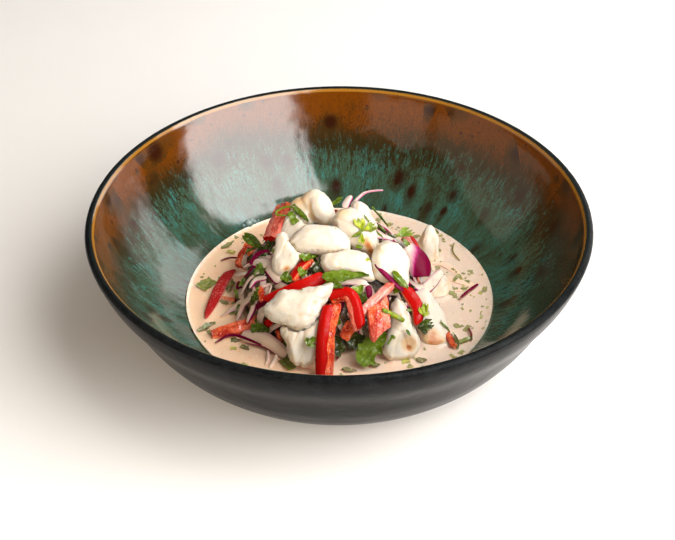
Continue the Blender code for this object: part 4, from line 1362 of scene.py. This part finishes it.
def make_onion():
    """The petal, the crescent and the other large layers."""
    material = onion_finish()
    for name, (start, middle, end, width, thickness, turn, cup, tip) in ONIONS.items():
        strip = Strip((start, middle, end), width, thickness, turn, cup, (tip, tip))
        skin_at = petal_purple if name == "onion_petal" else edge_purple(0.9)
        batch = Batch(name.replace("onion", "red_onion"), "onion")
        batch.add(onion_bend(strip, Vector(middle), skin_at, 0.9 * (middle[2] < LOW_LAYER)))
        batch.finish(material, "onion", [name])


def heap_spots(count, chance, clear):
    """Places on the heap that no large piece covers: the spot, the way out, and a way along."""
    heap = search_tree([frame["nodes"]["salad"].data])
    others = tree_without("bowl", "broth", "salad")
    spots = []
    while len(spots) < count:
        turn = chance.uniform(0.0, 2 * math.pi)
        rise = chance.uniform(-0.1, 1.3)
        way = Vector((math.cos(turn) * math.cos(rise), math.sin(turn) * math.cos(rise), math.sin(rise)))
        start = HEAP_CENTRE + Vector((0, 0, BROTH_LEVEL)) + way * OUTSIDE
        spot, outward = heap.ray_cast(start, -way)[:2]
        if spot is None or spot.z < BROTH_LEVEL or others.find_nearest(spot)[3] < clear:
            continue
        down = (Vector((0, 0, -1)) + outward * outward.z).normalized()
        twist = Matrix.Rotation(chance.gauss(0.0, 0.8), 3, outward)
        spots.append((spot, outward, twist @ down))
    return spots


# ---- the salad --------------------------------------------------------------------------------
def make_salad():
    """The core of the heap, and the slices of onion on and in it."""
    bm = remeshed("salad", SALAD_VOXEL)
    smoothed(bm, SALAD_PASSES)
    for vert in bm.verts:
        vert.co += vert.normal * (-SALAD_SHRINK + 1.3 * noise.noise(vert.co / 4.0)
                                  + 0.7 * noise.noise(vert.co / 1.8))
    keep("salad_heap", bm, salad_finish(), "salad", ["salad"], sharp=60.0)

    material = onion_finish()
    batch = Batch("onion_slices", "slice")
    for start, middle, end, width, purple in SLICES:
        strip = Strip((start, middle, end), width, 1.0 if width > 2.5 else 0.8, 0, width * 0.12,
                      SLICE_ENDS, upright if afloat(start, middle, end) else heap_normal)
        soaked = 0.6 * (middle[2] < LOW_SLICE)
        batch.add(onion_bend(strip, Vector(middle), edge_purple(purple), soaked))
    batch.finish(material, "onion")

    chance = random.Random(ONION_SEED)
    batch = Batch("heaped_onion", "loose slice")
    for spot, outward, run in heap_spots(settings("salad").slices, chance, 1.2):
        reach = chance.uniform(5.5, 10.0)
        bow = run.cross(outward) * chance.uniform(-3.0, 3.0)
        lift = outward * chance.uniform(-0.2, 1.6)
        low = outward * chance.uniform(-2.0, 0.5)
        strip = Strip((spot - run * reach + low, spot + bow + lift, spot + run * reach + low),
                      chance.uniform(2.5, 5.0), 1.0, chance.gauss(0.0, 35.0), 0.6, SLICE_ENDS)
        purple = chance.choice(LOOSE_PURPLES)
        batch.add(onion_bend(strip, spot, edge_purple(purple), chance.uniform(0.2, 0.8)))
    batch.finish(material, "onion")


# ---- the herbs --------------------------------------------------------------------------------
def half_width(kind, place, seed):
    """Half the width of a leaf along its length, as a share."""
    if kind == "frond":
        return 0.1 + 0.9 * clamp(place / 0.7) ** 1.3
    if kind == "cut":
        return 0.86 + 0.35 * uneven(seed, place * 4.0)
    share = math.sin(math.pi * clamp(place, 0.015, 0.985) ** (0.8 if kind == "blade" else 0.7)) ** 0.65
    if kind == "leaf":
        share *= 1.0 + 0.6 * uneven(seed, place * 3.5) + 0.5 * uneven(seed, place * 9.0, 0.0, 2.0)
    return share


def add_leaf(batch, tree, kind, foot, tip, width, tone, curl):
    """Lays one leaf over whatever is under it."""
    foot, tip = Vector(foot), Vector(tip)
    middle = (foot + tip) / 2
    low = afloat(foot, tip)
    outward = upright(middle) if low else (heap_normal(middle) + LEAF_LEAN).normalized()
    run = tip - foot
    outward = (outward - run * outward.dot(run) / run.length_squared).normalized()
    across = outward.cross(run).normalized()
    seed = middle * 0.7

    def lay(co):
        place = (co.x + 1) / 2
        left = Vector((0.0, 0.0, 3.0 if co.y > 0 else 9.0))
        half = half_width(kind, place, seed + left) * width / 2
        if kind == "frond":
            tip_at = 0.82 + 0.18 * abs(math.cos(1.5 * math.pi * co.y)) + 0.06 * math.cos(11 * co.y)
            place *= tip_at + 0.12 * uneven(seed, co.y * 3.0)
        waver = uneven(seed, place * 2.5, co.y, 0.5)
        spot = foot + run * place + across * co.y * half
        base = settled(tree, spot, outward, 0.4 if low else 1.2, 1.0 if low else 2.6)
        rise = (curl * (co.y * co.y - 0.3) + 0.35 * curl * (1 - math.exp(-(co.y / 0.2) ** 2))
                + 0.6 * curl * waver + (0.05 if low else 0.3))
        shade = tone + 0.12 * uneven(seed, place * 3, co.y * 2, 4.0)
        local = Vector((place * run.length, co.y * half * 0.6 + abs(place - 0.5), co.z))
        flat = Vector((place * run.length, co.y * half, 0.0))
        rise += min(width * 0.09, 0.7) * noise.noise(flat / 2.3)
        return base + outward * (rise + co.z * LEAF_HALF_THICKNESS), (0.0, clamp(shade)), local
    batch.add(lay)


def add_parsley(batch, tree, foot, tip, width, tone, curl):
    """Three fronds that spread from one foot."""
    foot, tip = Vector(foot), Vector(tip)
    outward = (heap_normal(foot) + LEAF_LEAN).normalized()
    for angle, share in FRONDS:
        run = tip - foot
        run.rotate(Matrix.Rotation(math.radians(angle), 3, outward))
        add_leaf(batch, tree, "frond", foot, foot + run * share, width * share, tone + 0.001 * angle,
                 curl)


def make_herbs():
    """Leaves and stalks one by one, loose leaves over the heap, and crumbs in the broth."""
    herbs = settings("herbs")
    material = herb_finish()
    tree = search_tree([item.data for item in bpy.context.scene.objects
                        if item.name.startswith(UNDER_LEAVES)])
    batch = Batch("herb_leaves", "leaf")
    for kind, *leaf in LEAVES:
        if kind == "parsley":
            add_parsley(batch, tree, *leaf)
        else:
            add_leaf(batch, tree, kind, *leaf)
    batch.change("stalk")
    for points, thickness, tone in STALKS:
        strip = Strip(smooth_line(points, 6), thickness, thickness, 0, 0, (0.7, 0.7),
                      upright if afloat(*points) else heap_normal)

        def bend(co, strip=strip, tone=tone):
            place = (co.x + 1) / 2
            point, along, across, outward = strip.frame_at(place)
            round_off = 1 / max(math.hypot(co.y, co.z), 0.01) if abs(co.y) + abs(co.z) > 1.5 else 1.0
            half = strip.width / 2 * strip.size_at(place) * round_off
            local = Vector((place * strip.length, co.y * half, co.z * half))
            return point + across * co.y * half + outward * co.z * half, (0.0, tone), local
        batch.add(bend)
    batch.finish(material)

    chance = random.Random(HERB_SEED)
    batch = Batch("heaped_leaves", "loose leaf")
    for spot, outward, run in heap_spots(herbs.leaves, chance, 1.5):
        run = run * chance.uniform(4.0, 8.0)
        spot = spot + outward * chance.uniform(0.2, 1.8)
        add_leaf(batch, tree, chance.choice(("leaf", "blade", "cut")), spot - run / 2, spot + run / 2,
                 chance.uniform(2.5, 6.0), chance.choice(LEAF_TONES), chance.uniform(0.2, 1.0))
    batch.finish(material)

    batch = Batch("herb_crumbs", "crumb")
    pieces = tree_without("bowl", "broth")
    done = 0
    while done < herbs.crumbs:
        turn = chance.uniform(0.0, 2 * math.pi)
        reach = BROTH_RADIUS * math.sqrt(chance.uniform(0.0, 0.97))
        spot = Vector((reach * math.cos(turn), reach * math.sin(turn), BROTH_LEVEL + 0.15))
        on_food = pieces.ray_cast(Vector((spot.x, spot.y, OUTSIDE)), Vector((0, 0, -1)))
        in_broth = on_food[0] is None or on_food[0].z < BROTH_LEVEL
        crowd = clamp(0.1 + 0.5 * (spot.x > 20) + 0.9 * noise.noise(spot / 14.0)) if in_broth else 0.02
        if chance.random() > crowd:
            continue
        run = Vector((chance.gauss(0, 1), chance.gauss(0, 1), 0)).normalized()
        size = chance.choice(CRUMB_SIZES) * (1.0 if in_broth else 0.6)
        if not in_broth:
            if on_food[1].z < 0.35:
                continue
            spot = on_food[0]
            run = (run - on_food[1] * run.dot(on_food[1])).normalized()
        run = run * size * chance.uniform(1.0, 1.8)
        add_leaf(batch, tree, chance.choice(("cut", "leaf", "frond")), spot - run, spot + run,
                 size * 1.9, chance.choice(CRUMB_TONES), 0.12)
        done += 1
    batch.finish(material)


# ---- the stage --------------------------------------------------------------------------------
def add_light(name, place, turn, width, height, power, tint):
    lamp = bpy.data.lights.new(name, "AREA")
    lamp.shape = "RECTANGLE"
    lamp.size = width
    lamp.size_y = height
    lamp.energy = power
    lamp.color = tint
    item = bpy.data.objects.new(name, lamp)
    item.location = place
    item.rotation_euler = [math.radians(angle) for angle in turn]
    item.visible_glossy = name != UNSEEN
    item.visible_diffuse = name != SEEN_ONLY
    bpy.context.scene.collection.objects.link(item)


def make_stage():
    """The table, the lights, the room's own light and the camera."""
    stage = settings("stage")
    scene = bpy.context.scene
    bm = bmesh.new()
    bmesh.ops.create_grid(bm, x_segments=8, y_segments=8, size=FLOOR_REACH)
    mesh = bpy.data.meshes.new("floor")
    bm.to_mesh(mesh)
    bm.free()
    mesh.materials.append(floor_finish())
    floor = bpy.data.objects.new("floor", mesh)
    scene.collection.objects.link(floor)

    for name, (place, turn, width, height, source, share, tint) in LIGHTS.items():
        add_light(name, place, turn, width, height, getattr(stage, source) * share, tint)

    world = bpy.data.worlds.new("studio")
    world.use_nodes = True
    room = world.node_tree.nodes["Background"].inputs
    room["Color"].default_value = (*ROOM_TINT, 1.0)
    room["Strength"].default_value = ROOM_LIGHT
    scene.world = world
    scene.view_settings.view_transform = "Standard"

    lens = bpy.data.cameras.new("camera")
    lens.lens = stage.lens * 1000
    lens.sensor_width = SENSOR_WIDTH
    camera = bpy.data.objects.new("camera", lens)
    camera.location = CAMERA_PLACE
    camera.rotation_euler = [math.radians(angle) for angle in CAMERA_TURN]
    scene.collection.objects.link(camera)
    scene.camera = camera


# ---- operators, panel and registration --------------------------------------------------------
class CEVICHE_OT_stage(bpy.types.Operator):
    """Make the table, the lights and the camera"""
    bl_idname = "ceviche.stage"
    bl_label = "Stage"

    def execute(self, context):
        make_stage()
        return {"FINISHED"}


class CEVICHE_OT_bowl(bpy.types.Operator):
    """Make the glazed stoneware bowl"""
    bl_idname = "ceviche.bowl"
    bl_label = "Bowl"

    def execute(self, context):
        make_bowl()
        return {"FINISHED"}


class CEVICHE_OT_broth(bpy.types.Operator):
    """Fill the bowl with broth"""
    bl_idname = "ceviche.broth"
    bl_label = "Broth"

    def execute(self, context):
        make_broth()
        return {"FINISHED"}


class CEVICHE_OT_fish(bpy.types.Operator):
    """Make the chunks of fish"""
    bl_idname = "ceviche.fish"
    bl_label = "Fish"

    def execute(self, context):
        make_fish()
        return {"FINISHED"}


class CEVICHE_OT_pepper(bpy.types.Operator):
    """Make the strips of red pepper"""
    bl_idname = "ceviche.pepper"
    bl_label = "Pepper"

    def execute(self, context):
        make_pepper()
        return {"FINISHED"}


class CEVICHE_OT_onion(bpy.types.Operator):
    """Make the petals and large slices of red onion"""
    bl_idname = "ceviche.onion"
    bl_label = "Onion"

    def execute(self, context):
        make_onion()
        return {"FINISHED"}


class CEVICHE_OT_salad(bpy.types.Operator):
    """Make the heap of salad under the pieces"""
    bl_idname = "ceviche.salad"
    bl_label = "Salad"

    def execute(self, context):
        make_salad()
        return {"FINISHED"}


class CEVICHE_OT_herbs(bpy.types.Operator):
    """Lay the leaves, stalks and chopped crumbs"""
    bl_idname = "ceviche.herbs"
    bl_label = "Herbs"

    def execute(self, context):
        make_herbs()
        return {"FINISHED"}


class CEVICHE_PT_panel(bpy.types.Panel):
    """Lists the pieces of the dish and their settings"""
    bl_idname = "CEVICHE_PT_panel"
    bl_label = "Ceviche"
    bl_space_type = "VIEW_3D"
    bl_region_type = "UI"
    bl_category = "Ceviche"

    def draw(self, context):
        for name, group in SETTINGS.items():
            box = self.layout.box()
            for key in group.__annotations__:
                box.prop(settings(name), key)
            box.operator("ceviche." + name)


CLASSES = [*SETTINGS.values(), CEVICHE_OT_stage, CEVICHE_OT_bowl, CEVICHE_OT_broth,
           CEVICHE_OT_fish, CEVICHE_OT_pepper, CEVICHE_OT_onion, CEVICHE_OT_salad,
           CEVICHE_OT_herbs, CEVICHE_PT_panel]


def register():
    for item in CLASSES:
        bpy.utils.register_class(item)
    for name, group in SETTINGS.items():
        setattr(bpy.types.Scene, "ceviche_" + name, PointerProperty(type=group))


def unregister():
    for name in SETTINGS:
        delattr(bpy.types.Scene, "ceviche_" + name)
    for item in reversed(CLASSES):
        bpy.utils.unregister_class(item)


def main():
    register()
    bpy.ops.ceviche.stage()
    bpy.ops.ceviche.bowl()
    bpy.ops.ceviche.broth()
    bpy.ops.ceviche.fish()
    bpy.ops.ceviche.pepper()
    bpy.ops.ceviche.onion()
    bpy.ops.ceviche.salad()
    bpy.ops.ceviche.herbs()


if __name__ == "__main__":
    main()
